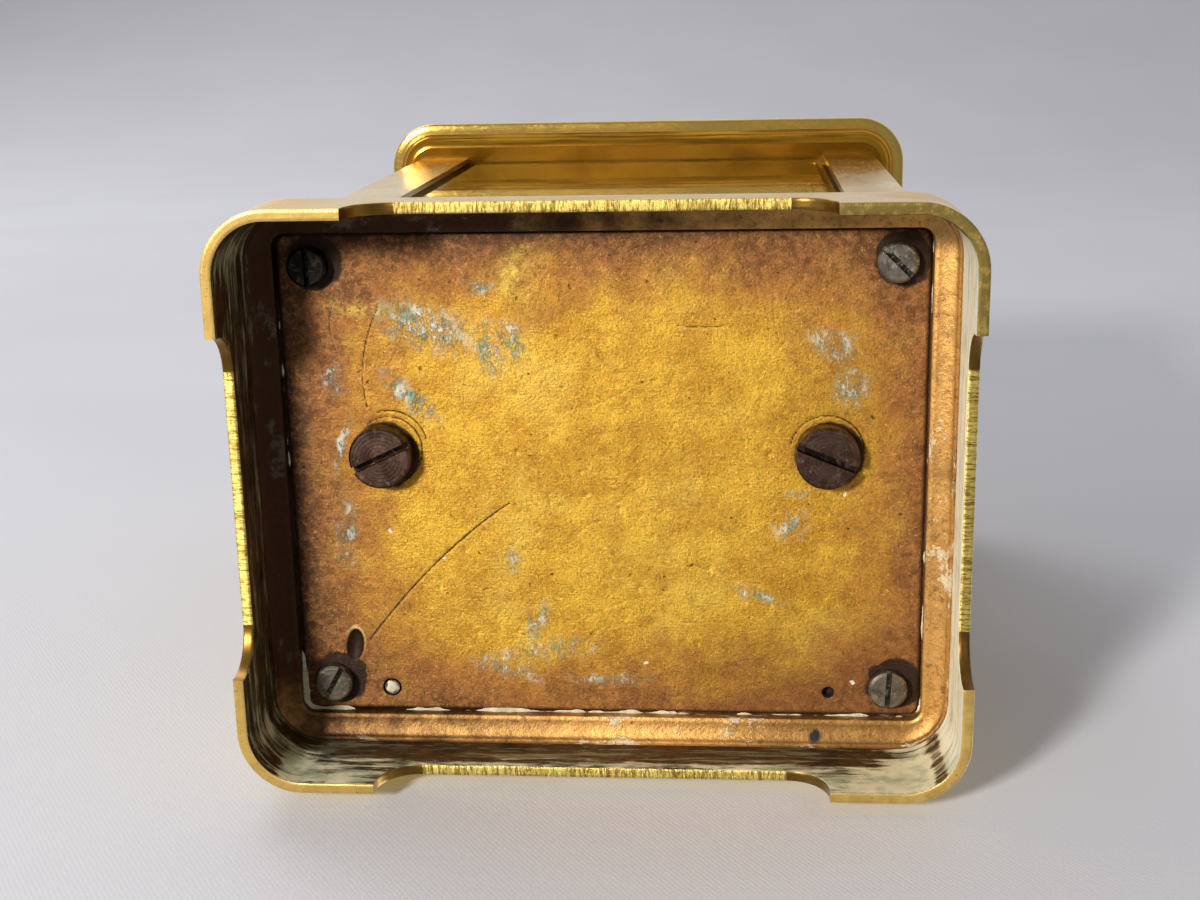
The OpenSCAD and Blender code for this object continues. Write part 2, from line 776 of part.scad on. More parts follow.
module handle() {
    reach_y = handle_reach;
    color(gold)
        difference() {
            translate([0, 0, pivot_z])
                union() {
                    for (s = [-1, 1]) {
                        translate([s*eye_x - eye_t/2, 0, 0])
                            rotate([0, 90, 0])
                                cylinder(r = eye_r, h = eye_t);
                        translate([s*eye_x, 0, 0])
                            rotate([-90, 0, 0])
                                cylinder(r = arm_r - 0.4, h = reach_y - handle_bend);
                        translate([s*eye_x, reach_y*0.36, 0])
                            rotate([-90, 0, 0])
                                cylinder(r = arm_r, h = reach_y*0.64 - handle_bend);
                        translate([s*(eye_x - handle_bend), reach_y - handle_bend, 0])
                            rotate([0, 0, s > 0 ? 0 : 90])
                                rotate_extrude(angle = 90)
                                    translate([handle_bend, 0])
                                        circle(r = arm_r);
                        translate([s*(eye_x - handle_bend), reach_y, 0])
                            rotate([0, -s*90, 0])
                                cylinder(r = arm_r, h = 3);
                        translate([s*(eye_x - handle_bend - 3), reach_y, 0])
                            rotate([0, -s*90, 0])
                                cylinder(r = grip_r, h = 1.2);
                    }
                    translate([-(eye_x - handle_bend - 4), reach_y, 0])
                        rotate([0, 90, 0])
                            rotate_extrude()
                                polygon([[0, 0], [grip_r - 0.5, 0],
                                    [grip_r - 0.1, 0.35*(eye_x - handle_bend - 4)],
                                    [grip_r, eye_x - handle_bend - 4],
                                    [grip_r - 0.1, 1.65*(eye_x - handle_bend - 4)],
                                    [grip_r - 0.5, 2*(eye_x - handle_bend - 4)],
                                    [0, 2*(eye_x - handle_bend - 4)]]);
                }
            translate([-post_x, 0, pivot_z])
                rotate([0, 90, 0])
                    cylinder(r = handle_pin_r + pivot_gap, h = post_x - eye_x + eye_t);
            translate([post_x, 0, pivot_z])
                rotate([0, -90, 0])
                    cylinder(r = handle_pin_r + pivot_gap, h = post_x - eye_x + eye_t);
        }
}

// ---- rear door ----

module door_frame() {
    open_x = door_edge - door_stile;
    color(gold)
        difference() {
            union() {
                box([door_hx, door_y - door_t/2, door_z0], [door_edge, door_y + door_t/2, door_z1]);
                intersection() {
                    translate([door_hx, door_y, door_z0])
                        cylinder(r = door_stile/2, h = door_z1 - door_z0);
                    box([-door_edge - 1, door_y - door_t/2, door_z0], [door_hx, door_y + door_t/2, door_z1]);
                }
            }
            box([-open_x, door_y - door_t, door_z0 + door_stile],
                [open_x, door_y + door_t, door_z1 - door_stile]);
            box([-open_x - groove_depth, door_y - glass_t/2 - glass_gap, door_z0 + door_stile - groove_depth],
                [open_x + groove_depth, door_y + glass_t/2 + glass_gap, door_z1 - door_stile + groove_depth]);
            translate([door_hx, door_y, door_z0 - cut])
                cylinder(r = door_pin_r, h = 4 + cut);
            translate([door_hx, door_y, door_z1 - 4])
                cylinder(r = door_pin_r, h = 4 + cut);
            on_axis([-door_hx, base_height + knob_z], door_y + door_t)
                cylinder(r = knob_r/2, h = 2*door_t);
        }
}

module door_glass() {
    open_x = door_edge - door_stile;
    h = door_z1 - door_z0 - 2*door_stile + 2*groove_depth;
    color(glass)
        translate([0, door_y - glass_t/2, (door_z0 + door_z1)/2])
            rotate([90, 0, 180])
                bevelled(2*(open_x + groove_depth), h, glass_t, bevel_w, bevel_d);
}

module door_knob() {
    color(gold)
        on_axis([-door_hx, base_height + knob_z], door_y + door_t/2 + knob_out)
            rotate_extrude()
                polygon([[0, 0], [knob_r - 0.9, 0], [knob_r - 0.3, 0.25], [knob_r, 0.9], [knob_r, 1.3],
                    [knob_r - 0.4, 1.9], [knob_r - 1.0, 2.3], [knob_r - 1.0, knob_out - 0.5],
                    [knob_r - 0.3, knob_out - 0.5], [knob_r - 0.3, knob_out], [knob_r/2, knob_out],
                    [knob_r/2, knob_out + door_t + 0.3], [0, knob_out + door_t + 0.3]]);
}

module door_hinge_pins() {
    color(steel) {
        translate([door_hx, door_y, floor_z + 0.1])
            cylinder(r = door_pin_r, h = door_z0 + 4 - floor_z - 0.1);
        translate([door_hx, door_y, door_z1 - 4])
            cylinder(r = door_pin_r, h = 4 + door_end_gap + 2.2);
    }
}

module door_stop() {
    color(gold)
        box([inner_x - 1.4, door_y - door_t/2 - 1.2, base_height + knob_z - 9],
            [inner_x, door_y - door_t/2 - 0.05, base_height + knob_z + 9]);
}

// ---- movement frame ----

module movement_plate(y_back) {
    translate([-plate_half, y_back - plate_t, base_height])
        cube([2*plate_half, plate_t, plate_height]);
}

module plate_holes(y_back) {
    for (s = [-1, 1])
        for (z = [lower_post_z, upper_post_z])
            on_axis([s*pillar_post_x, z], y_back + cut)
                cylinder(r = plate_screw_r + screw_gap, h = plate_t + 2*cut);
    for (p = [intermediate_p, third_p, contrate_p])
        on_axis(p, y_back + cut)
            cylinder(r = pivot_r + pivot_gap, h = plate_t + 2*cut);
    on_axis(centre_p, y_back + cut)
        cylinder(r = tube_r + pivot_gap, h = plate_t + 2*cut);
    for (x = [-platform_left + 2, platform_right - 2])
        translate([x, y_back - plate_t/2, plate_top - 4])
            cylinder(r = 0.45 + screw_gap, h = 4 + cut);
}

module front_plate() {
    color(brass)
        difference() {
            union() {
                movement_plate(front_in);
                on_axis(minute_p, front_in - 0.4)
                    cylinder(r = 0.7, h = plate_t + 2.9);
            }
            plate_holes(front_in);
            on_axis(barrel_p, front_in + cut)
                cylinder(r = 1.6 + pivot_gap, h = plate_t + 2*cut);
            for (a = [90, 210, 330])
                on_axis(centre_p + 16*[cos(a), sin(a)], front_in + cut)
                    cylinder(r = 0.7, h = plate_t + 2*cut);
        }
}

module back_plate() {
    color(brass)
        difference() {
            movement_plate(back_out);
            plate_holes(back_out);
            on_axis(barrel_p, back_out + cut)
                cylinder(r = barrel_arbor_r + pivot_gap, h = plate_t + 2*cut);
            on_axis(click_p, back_out + cut)
                cylinder(r = click_pin_r, h = plate_t + 2*cut);
            on_axis(spring_p, back_out + cut)
                cylinder(r = 0.6, h = plate_t + 2*cut);
        }
}

module movement_pillars() {
    color(brass)
        difference() {
            union() {
                for (s = [-1, 1]) {
                    for (z = [lower_post_z, upper_post_z])
                        on_axis([s*pillar_post_x, z], back_in)
                            cylinder(r = pillar_post_r, h = plate_gap);
                    translate([s*pillar_post_x - foot_block/2, movement_y - foot_block/2, base_height])
                        cube([foot_block, foot_block, foot_block_h]);
                }
            }
            for (s = [-1, 1]) {
                for (z = [lower_post_z, upper_post_z]) {
                    on_axis([s*pillar_post_x, z], back_in + cut)
                        cylinder(r = plate_screw_r + screw_gap, h = 6 + cut);
                    on_axis([s*pillar_post_x, z], front_in + 6)
                        cylinder(r = plate_screw_r + screw_gap, h = 6 + cut);
                }
                translate([s*pillar_post_x, movement_y, base_height - cut])
                    cylinder(r = movement_screw_r + screw_gap, h = movement_screw_grip + cut + 0.3);
            }
        }
}

module plate_screws() {
    color(steel)
        for (s = [-1, 1])
            for (z = [lower_post_z, upper_post_z]) {
                translate([s*pillar_post_x, back_out, z])
                    rotate([-90, 0, 0])
                        slotted_head(plate_screw_head_r, plate_screw_head_h, 0.4, 30*s + z, slot_share);
                on_axis([s*pillar_post_x, z], back_out + 0.2)
                    cylinder(r = plate_screw_r, h = plate_t + 5.2);
                translate([s*pillar_post_x, front_out, z])
                    rotate([90, 0, 0])
                        slotted_head(plate_screw_head_r, plate_screw_head_h, 0.4, 50*s + z, slot_share);
                on_axis([s*pillar_post_x, z], front_in + 5)
                    cylinder(r = plate_screw_r, h = plate_t + 5.2);
            }
}

// ---- train ----

module barrel() {
    r = barrel_module*(barrel_n/2 - wheel_form[1]) - 0.2;
    v1 = barrel_v + barrel_depth;
    ph = dir(barrel_p, intermediate_p);
    color(brass)
        between(barrel_p, barrel_v, v1)
            difference() {
                union() {
                    linear_extrude(barrel_tooth_w)
                        polygon(tooth_points(barrel_n, barrel_module, wheel_form, ph));
                    cylinder(r = r, h = barrel_depth);
                }
                translate([0, 0, -cut])
                    cylinder(r = r - barrel_wall, h = barrel_depth - barrel_end + cut);
                bore(barrel_arbor_r + pivot_gap, barrel_depth);
            }
}

module barrel_cap() {
    r = barrel_module*(barrel_n/2 - wheel_form[1]) - 0.2 - barrel_wall;
    color(brass)
        between(barrel_p, barrel_v, barrel_v + barrel_depth)
            difference() {
                cylinder(r = r, h = barrel_end);
                bore(barrel_arbor_r + pivot_gap, barrel_end);
            }
}

module mainspring() {
    r = barrel_module*(barrel_n/2 - wheel_form[1]) - 0.2 - barrel_wall;
    color(steel)
        between(barrel_p, barrel_v, barrel_v + barrel_depth - barrel_end - 0.6)
            spiral(hub_r + 0.6, r - 0.4, mainspring_turns, mainspring_t, barrel_depth - 2*barrel_end - 1.2);
}

module barrel_arbor() {
    color(steel) {
        on_axis(barrel_p, front_in + end_play + 0.2)
            cylinder(r = 1.6, h = plate_t + end_play + 0.2);
        on_axis(barrel_p, back_out + 0.3)
            cylinder(r = barrel_arbor_r, h = plate_gap + plate_t + 0.3 - end_play);
        between(barrel_p, 0, barrel_v + barrel_depth - barrel_end - 0.3)
            cylinder(r = hub_r, h = barrel_depth - 2*barrel_end - 0.6);
        translate([barrel_p[0] - winding_square/2, back_out + 0.2, barrel_p[1] - winding_square/2])
            cube([winding_square, winding_reach - 0.2, winding_square]);
    }
}

ratchet_n = 24;
click_p = barrel_p + [8.2, 5.9];
spring_p = barrel_p + [9.0, 14.0];

module ratchet_wheel() {
    root = ratchet_r - ratchet_depth;
    color(steel)
        on_axis(barrel_p, back_out + 0.4 + ratchet_t)
            difference() {
                linear_extrude(ratchet_t)
                    polygon([for (i = [0:ratchet_n - 1]) for (q = [[0, root], [0.06, ratchet_r], [0.2, ratchet_r]])
                        let (a = 360/ratchet_n*(i + q[0]) + 78)
                            [q[1]*cos(a), q[1]*sin(a)]]);
                translate([-winding_square/2, -winding_square/2, -cut])
                    cube([winding_square, winding_square, ratchet_t + 2*cut]);
            }
}

function polar(r, a) = [r*cos(a), r*sin(a)];

module click() {
    c = click_p - barrel_p;
    face = 78 - 0.6;
    root = ratchet_r - ratchet_depth;
    color(steel)
        on_axis(barrel_p, back_out + 0.4 + ratchet_t)
            difference() {
                union() {
                    translate([c[0], c[1], 0])
                        cylinder(r = 1.5, h = ratchet_t);
                    linear_extrude(ratchet_t)
                        polygon([c - [0, 1.0], c + [0.2, 1.45], [4.5, 8.1], [1.3, 7.5], polar(6.9, face),
                            polar(root + 0.25, face), polar(root + 0.45, face - 3.4),
                            polar(ratchet_r + 0.1, face - 7.4), polar(ratchet_r + 0.25, face - 13.4),
                            [4.3, 6.6]]);
                }
                translate([c[0], c[1], -cut])
                    cylinder(r = click_pin_r + pivot_gap, h = ratchet_t + 2*cut);
            }
}

module click_screw() {
    color(dark_steel) {
        on_axis(click_p, back_out + 0.4 + ratchet_t + 0.3)
            cylinder(r = click_pin_r, h = ratchet_t + 0.7 + plate_t);
        translate([click_p[0], back_out + 0.4 + ratchet_t + 0.2, click_p[1]])
            rotate([-90, 0, 0])
                slotted_head(1.6, 0.9, 0.4, 20, slot_share);
        on_axis(spring_p, back_out + 0.9)
            cylinder(r = 0.6, h = 0.9 + plate_t);
        translate([spring_p[0], back_out + 0.8, spring_p[1]])
            rotate([-90, 0, 0])
                slotted_head(1.2, 0.7, 0.35, 70, slot_share);
    }
}

module click_spring() {
    color(steel)
        translate([spring_p[0], back_out + 0.8, spring_p[1]])
            rotate([90, 0, 0])
                difference() {
                    union() {
                        cylinder(r = 1.4, h = 0.8);
                        linear_extrude(0.8)
                            polygon([[-1.3, 0.5], [-1.4, -0.2], [-4.4, -5.5], [-4.05, -5.6], [-0.5, -1.2]]);
                    }
                    bore(0.6, 0.8);
                }
}

module intermediate_arbor() {
    ph = dir(barrel_p, intermediate_p) + 180 + 180/intermediate_pn;
    v = barrel_v + barrel_depth;
    color(steel) {
        arbor(intermediate_p, strong_arbor_r, pivot_r);
        between(intermediate_p, 0, v + 0.4)
            pinion(intermediate_pn, barrel_module, barrel_tooth_w + 0.8, ph);
    }
}

module intermediate_wheel() {
    t = wheel_t + 0.2;
    color(brass) {
        between(intermediate_p, 0, intermediate_wheel_v + t)
            spoked_wheel(intermediate_n, intermediate_module, t, dir(intermediate_p, centre_p),
                2.6, strong_arbor_r, 5);
        between(intermediate_p, 0, intermediate_wheel_v)
            difference() {
                cylinder(r = 1.9, h = 0.8);
                bore(strong_arbor_r, 0.8);
            }
    }
}

module centre_arbor() {
    ph = dir(intermediate_p, centre_p) + 180 + 180/centre_pn;
    color(steel)
        difference() {
            union() {
                on_axis(centre_p, back_out)
                    cylinder(r = tube_r, h = plate_gap + 2*plate_t);
                between(centre_p, 0, intermediate_wheel_v + 1.5)
                    pinion(centre_pn, intermediate_module, 2, ph);
            }
            on_axis(centre_p, back_out + cut)
                cylinder(r = tube_bore, h = plate_gap + 2*plate_t + 2*cut);
        }
}

module centre_wheel() {
    color(brass) {
        between(centre_p, 0, centre_wheel_v + wheel_t)
            spoked_wheel(centre_n, centre_module, wheel_t, dir(centre_p, third_p), 2.8, tube_r, 5);
        between(centre_p, 0, centre_wheel_v + wheel_t + 1)
            difference() {
                cylinder(r = 2.1, h = 1);
                bore(tube_r, 1);
            }
    }
}

module third_arbor() {
    ph = dir(centre_p, third_p) + 180 + 180/third_pn;
    color(steel) {
        arbor(third_p, arbor_r, pivot_r);
        between(third_p, 0, centre_wheel_v + wheel_t + 0.9)
            pinion(third_pn, centre_module, wheel_t + 1.8, ph);
    }
}

module third_wheel() {
    color(brass) {
        between(third_p, 0, third_wheel_v + wheel_t)
            spoked_wheel(third_n, third_module, wheel_t, dir(third_p, contrate_p), 2.2, arbor_r, 4);
        between(third_p, 0, third_wheel_v)
            difference() {
                cylinder(r = 1.4, h = 0.9);
                bore(arbor_r, 0.9);
            }
    }
}

module contrate_arbor() {
    ph = dir(third_p, contrate_p) + 180 + 180/contrate_pn;
    color(steel) {
        arbor(contrate_p, arbor_r, pivot_r);
        between(contrate_p, 0, third_wheel_v + wheel_t + 0.8)
            pinion(contrate_pn, third_module, wheel_t + 1.6, ph);
    }
}

module contrate_wheel() {
    m = contrate_module;
    pitch_v = escape_v - m*escape_pn/2;
    root_v = pitch_v - 0.9*m - 0.12;
    tip_v = pitch_v + m;
    web = 0.7;
    w = m*3.14159;
    color(brass)
        difference() {
            union() {
                between(contrate_p, 0, contrate_wheel_v + web)
                    difference() {
                        cylinder(r = crown_r + 0.6, h = web);
                        bore(crown_r - 1.6, web);
                    }
                between(contrate_p, 0, root_v)
                    difference() {
                        cylinder(r = crown_r + 0.6, h = root_v - contrate_wheel_v);
                        bore(crown_r - 0.6, root_v - contrate_wheel_v);
                    }
                between(contrate_p, 0, contrate_wheel_v + web)
                    cylinder(r = 1.9, h = web);
                for (i = [0:3])
                    between(contrate_p, 0, contrate_wheel_v + web)
                        rotate([0, 0, 90*i + 45])
                            translate([0, -spoke_w/2, 0])
                                cube([crown_r - 1.2, spoke_w, web]);
                for (i = [0:contrate_n - 1])
                    translate([contrate_p[0], front_in, contrate_p[1]])
                        rotate([0, 360/contrate_n*i, 0])
                            translate([0, 0, crown_r - 0.6])
                                linear_extrude(1.2)
                                    polygon([[-0.27*w, root_v - 0.1], [-0.22*w, pitch_v], [-0.07*w, tip_v],
                                        [0.07*w, tip_v], [0.22*w, pitch_v], [0.27*w, root_v - 0.1]]);
            }
            on_axis(contrate_p, back_in)
                cylinder(r = arbor_r, h = plate_gap);
        }
}

// ---- platform escapement ----

module platform() {
    color(brass)
        difference() {
            union() {
                box([-platform_left, front_out, plate_top], [platform_right, back_out, platform_z]);
                // arm under the platform that carries the escape pinion's lower pivot
                box([escape_x - 1.3, escape_y + 2.6, plate_top - 3.9],
                    [escape_x + 1.3, escape_y + 4.4, plate_top + 0.1]);
                box([escape_x - 1.0, escape_y, plate_top - 3.9],
                    [escape_x + 1.0, escape_y + 2.7, plate_top - 3.1]);
                translate([escape_x, escape_y, plate_top - 3.9])
                    cylinder(r = 0.65, h = 0.8);
            }
            translate([escape_x, escape_y, plate_top - cut])
                cylinder(r = 1.6, h = platform_t + 2*cut);
            translate([escape_x, escape_y, plate_top - 3.9 - cut])
                cylinder(r = 0.25 + pivot_gap, h = 0.8 + 2*cut);
            translate([lever_x, escape_y, plate_top - cut])
                cylinder(r = 0.25 + pivot_gap, h = platform_t + 2*cut);
            translate([balance_x, escape_y, plate_top - cut])
                cylinder(r = 0.25 + pivot_gap, h = platform_t + 2*cut);
            for (x = [-platform_left + 2, platform_right - 2])
                for (y = [front_out + plate_t/2, back_out - plate_t/2])
                    translate([x, y, plate_top - cut])
                        cylinder(r = 0.45 + screw_gap, h = platform_t + 2*cut);
            for (p = [[-17.1, -3.2], [-17.1, 1.0], [14.4, -3.4], [14.4, 1.2]])
                translate([p[0], p[1], plate_top - cut])
                    cylinder(r = 0.45 + screw_gap, h = platform_t + 2*cut);
        }
}

module top_screw(x, y, z, l) {
    translate([x, y, z])
        slotted_head(0.95, 0.6, 0.28, 40 + 9*x, slot_share);
    translate([x, y, z - l])
        cylinder(r = 0.45, h = l + 0.1);
}

module platform_screws() {
    color(steel) {
        for (x = [-platform_left + 2, platform_right - 2])
            for (y = [front_out + plate_t/2, back_out - plate_t/2])
                top_screw(x, y, platform_z, platform_t + 3.4);
        for (y = [-3.2, 1.0])
            top_screw(-17.1, y, cock_z + bridge_t, cock_z + bridge_t - plate_top - 0.1);
        for (y = [-3.4, 1.2])
            top_screw(14.4, y, bridge_z + bridge_t, bridge_z + bridge_t - plate_top - 0.1);
    }
}

module train_bridge() {
    color(brass)
        difference() {
            union() {
                box([12.7, escape_y - 4.2, platform_z], [16.1, escape_y + 4.2, bridge_z + bridge_t]);
                box([lever_x, escape_y - 1.6, bridge_z], [12.8, escape_y + 1.6, bridge_z + bridge_t]);
                translate([lever_x, escape_y, bridge_z])
                    cylinder(r = 1.6, h = bridge_t);
            }
            for (x = [escape_x, lever_x])
                translate([x, escape_y, bridge_z])
                    bore(0.25 + pivot_gap, bridge_t);
            for (y = [-3.4, 1.2])
                translate([14.4, y, platform_z])
                    bore(0.45 + screw_gap, bridge_z + bridge_t - platform_z);
        }
}

module balance_cock() {
    color(brass)
        difference() {
            union() {
                box([-19.6, escape_y - 4.4, platform_z], [-14.6, escape_y + 4.4, cock_z + bridge_t]);
                box([-14.8, escape_y - 2.2, cock_z], [balance_x, escape_y + 2.2, cock_z + bridge_t]);
                translate([balance_x, escape_y, cock_z])
                    cylinder(r = 2.2, h = bridge_t);
            }
            translate([balance_x, escape_y, cock_z])
                bore(0.25 + pivot_gap, bridge_t);
            for (y = [-3.2, 1.0])
                translate([-17.1, y, platform_z])
                    bore(0.45 + screw_gap, cock_z + bridge_t - platform_z);
        }
}

module escape_arbor() {
    z0 = plate_top - 3.0;
    color(steel)
        translate([escape_x, escape_y, 0]) {
            translate([0, 0, z0])
                pinion(escape_pn, contrate_module, 2.6, -90 + 180/escape_pn);
            translate([0, 0, z0])
                cylinder(r = 0.4, h = bridge_z - z0 - 0.1);
            translate([0, 0, z0 - 0.9])
                cylinder(r = 0.25, h = bridge_z + bridge_t - z0 + 0.9);
        }
}

module escape_wheel() {
    n = 15;
    root = escape_r - 1.1;
    color(brass)
        translate([escape_x, escape_y, lever_z])
            difference() {
                union() {
                    difference() {
                        linear_extrude(0.5)
                            polygon([for (i = [0:n - 1])
                                for (q = [[0, escape_r], [1.2, escape_r - 0.05], [5.5, root], [19, root]])
                                    let (a = 24*i + q[0] + 12)
                                        [q[1]*cos(a), q[1]*sin(a)]]);
                        bore(root - 0.6, 0.5);
                    }
                    cylinder(r = 1.1, h = 0.5);
                    for (i = [0:3])
                        rotate([0, 0, 90*i])
                            translate([0, -0.25, 0])
                                cube([root - 0.4, 0.5, 0.5]);
                }
                bore(0.4, 0.5);
            }
}

module pallet_lever() {
    tip = escape_r + 0.27;
    fork = -lever_to_balance + 1.95;
    color(steel)
        translate([lever_x, escape_y, lever_z]) {
            difference() {
                union() {
                    // the two pallet arms
                    linear_extrude(0.6)
                        polygon([[-0.9, -0.9], [-0.2, -3.2], [0.7, -3.1], [0.3, -0.9],
                            [0.3, 0.9], [0.7, 3.1], [-0.2, 3.2], [-0.9, 0.9]]);
                    // the lever and its fork
                    box([fork + 0.5, -0.3, 0], [-0.5, 0.3, 0.6]);
                    difference() {
                        box([fork, -0.75, 0], [fork + 0.7, 0.75, 0.6]);
                        box([fork - 0.1, -0.35, -0.1], [fork + 0.35, 0.35, 0.7]);
                    }
                    cylinder(r = 0.55, h = 0.6);
                }
                bore(0.3, 0.6);
            }
            for (s = [-1, 1])
                translate([escape_to_lever, 0, -0.1])
                    rotate([0, 0, 180 - s*30])
                        translate([tip, -0.25, 0])
                            cube([0.95, 0.5, 0.8]);
            translate([0, 0, -0.7])
                cylinder(r = 0.3, h = bridge_z - lever_z + 0.6);
            translate([0, 0, plate_top - lever_z + 0.2])
                cylinder(r = 0.25, h = bridge_z + bridge_t - plate_top - 0.2);
        }
}

module balance_wheel() {
    color(brass)
        translate([balance_x, escape_y, balance_z])
            difference() {
                union() {
                    difference() {
                        cylinder(r = balance_r, h = balance_t);
                        bore(balance_r - balance_rim, balance_t);
                    }
                    cylinder(r = 1.4, h = balance_t);
                    for (i = [0:2])
                        rotate([0, 0, 120*i + 30])
                            translate([0, -0.4, 0])
                                cube([balance_r - balance_rim/2, 0.8, balance_t]);
                }
                bore(staff_r, balance_t);
            }
}

module balance_staff() {
    color(steel)
        translate([balance_x, escape_y, 0]) {
            translate([0, 0, platform_z + 0.15])
                cylinder(r = staff_r, h = cock_z - platform_z - 0.3);
            translate([0, 0, plate_top + 0.2])
                cylinder(r = 0.25, h = cock_z + bridge_t - plate_top - 0.2);
            translate([0, 0, lever_z + 1.0])
                cylinder(r = 2.0, h = 0.3);
            translate([1.5, 0, lever_z - 0.1])
                cylinder(r = 0.2, h = 1.2);
            translate([0, 0, hairspring_z - 0.3])
                cylinder(r = 0.9, h = 0.9);
        }
}

module hairspring() {
    color(blue_steel)
        translate([balance_x, escape_y, hairspring_z])
            spiral(1.1, 4.4, hairspring_turns, hairspring_t, 0.35);
}

// ---- dial, motion work and hands ----

module dial() {
    color(enamel)
        difference() {
            union() {
                on_axis(centre_p, dial_back)
                    cylinder(r = dial_r + 1, h = dial_t);
                for (a = [90, 210, 330])
                    on_axis(centre_p + 16*[cos(a), sin(a)], front_in - 0.3)
                        cylinder(r = 0.7, h = plate_t + dial_space - 0.3 + 0.1);
            }
            on_axis(centre_p, dial_back + cut)
                cylinder(r = hour_pipe_r + 0.3, h = dial_t + 2*cut);
        }
}

module dial_mask() {
    color(gold)
        difference() {
            union() {
                box([-mask_half, mask_front, base_height + 0.3], [mask_half, mask_front + mask_t, case_top - 0.3]);
                for (s = [-1, 1])
                    for (z = [base_height + 10, plate_top - 10])
                        on_axis([s*23, z], front_out)
                            cylinder(r = 1.2, h = front_out - mask_front - mask_t + 0.1);
            }
            on_axis(centre_p, mask_front + mask_t + cut)
                cylinder(r = dial_r, h = mask_t + 2*cut);
        }
}

module hand_arbor() {
    color(steel) {
        on_axis(centre_p, back_out + 0.6)
            cylinder(r = set_r, h = back_out + 0.6 - minute_hand_y + 0.6);
        on_axis(centre_p, back_out + 0.6)
            cylinder(r = set_r + 0.9, h = 0.4);
        translate([centre_p[0] - setting_square/2, back_out + 0.5, centre_p[1] - setting_square/2])
            cube([setting_square, setting_out - 0.5, setting_square]);
    }
}

module cannon_pinion() {
    ph = dir(centre_p, minute_p) + 180/cannon_n;
    color(steel)
        difference() {
            union() {
                on_axis(centre_p, front_out - 0.4)
                    pinion(cannon_n, cannon_module, 1.1, ph);
                on_axis(centre_p, front_out - 0.4)
                    cylinder(r = cannon_r, h = front_out - 0.4 - minute_hand_y);
            }
            on_axis(centre_p, front_out)
                cylinder(r = set_r, h = 12);
        }
}

module minute_wheel() {
    ph = dir(minute_p, centre_p);
    color(brass)
        difference() {
            union() {
                on_axis(minute_p, front_out - 0.6)
                    linear_extrude(0.7)
                        polygon(tooth_points(minute_n, cannon_module, wheel_form, ph));
                on_axis(minute_p, front_out - 1.2)
                    pinion(minute_pn, hour_module, 1.9, ph + 180/minute_pn);
            }
            on_axis(minute_p, front_out)
                cylinder(r = 0.7 + pivot_gap, h = 4);
        }
}

module hour_wheel() {
    ph = dir(centre_p, minute_p);
    color(brass)
        difference() {
            union() {
                on_axis(centre_p, front_out - 2)
                    linear_extrude(0.8)
                        polygon(tooth_points(hour_n, hour_module, wheel_form, ph));
                on_axis(centre_p, front_out - 2)
                    cylinder(r = hour_pipe_r, h = front_out - 2 - hour_hand_y + hand_t);
            }
            on_axis(centre_p, front_out)
                cylinder(r = hour_bore, h = 12);
        }
}

// spade-shaped hand of length l with a ring, drawn along y
module hand_shape(l, hub, hole, ring) {
    difference() {
        union() {
            cylinder(r = hub, h = hand_t);
            linear_extrude(hand_t)
                polygon([[-0.45, -0.22*l], [0.45, -0.22*l], [0.5, 0], [0.32, 0.62*l], [0.14, l - 0.4],
                    [0, l], [-0.14, l - 0.4], [-0.32, 0.62*l], [-0.5, 0]]);
            translate([0, 0.66*l, 0])
                cylinder(r = ring, h = hand_t);
        }
        translate([0, 0.66*l, -cut])
            cylinder(r = ring - 0.4, h = hand_t + 2*cut);
        bore(hole, hand_t);
    }
    translate([0, 0.66*l + ring - 0.2, 0])
        linear_extrude(hand_t)
            polygon([[-0.3, 0], [0.3, 0], [0, 0.34*l - ring]]);
}

module hour_hand() {
    color(blue_steel)
        on_axis(centre_p, hour_hand_y)
            rotate([0, 0, -hour_angle])
                hand_shape(hour_hand_l, hour_pipe_r + 0.5, hour_pipe_r, 1.5);
}

module minute_hand() {
    color(blue_steel)
        on_axis(centre_p, minute_hand_y)
            rotate([0, 0, -minute_angle])
                hand_shape(minute_hand_l, 1.6, set_r, 1.3);
}

base_moulding();
floor_plate();
pillar_screws();
movement_screws();
front_left_pillar();
front_right_pillar();
rear_left_pillar();
rear_right_pillar();
front_glass();
left_glass();
right_glass();
top_cap();
top_glass();
handle_posts();
handle_pivots();
handle();
door_frame();
door_glass();
door_knob();
door_hinge_pins();
door_stop();
front_plate();
back_plate();
movement_pillars();
plate_screws();
platform();
platform_screws();
balance_cock();
train_bridge();
dial();
dial_mask();
barrel();
barrel_cap();
mainspring();
barrel_arbor();
ratchet_wheel();
click();
click_screw();
click_spring();
intermediate_arbor();
intermediate_wheel();
centre_arbor();
centre_wheel();
third_arbor();
third_wheel();
contrate_arbor();
contrate_wheel();
escape_arbor();
escape_wheel();
pallet_lever();
balance_wheel();
balance_staff();
hairspring();
hand_arbor();
cannon_pinion();
minute_wheel();
hour_wheel();
minute_hand();
hour_hand();
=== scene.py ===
import bpy
from math import cos, hypot, pi, radians, sin
import numpy as np
from mathutils import Matrix, Vector


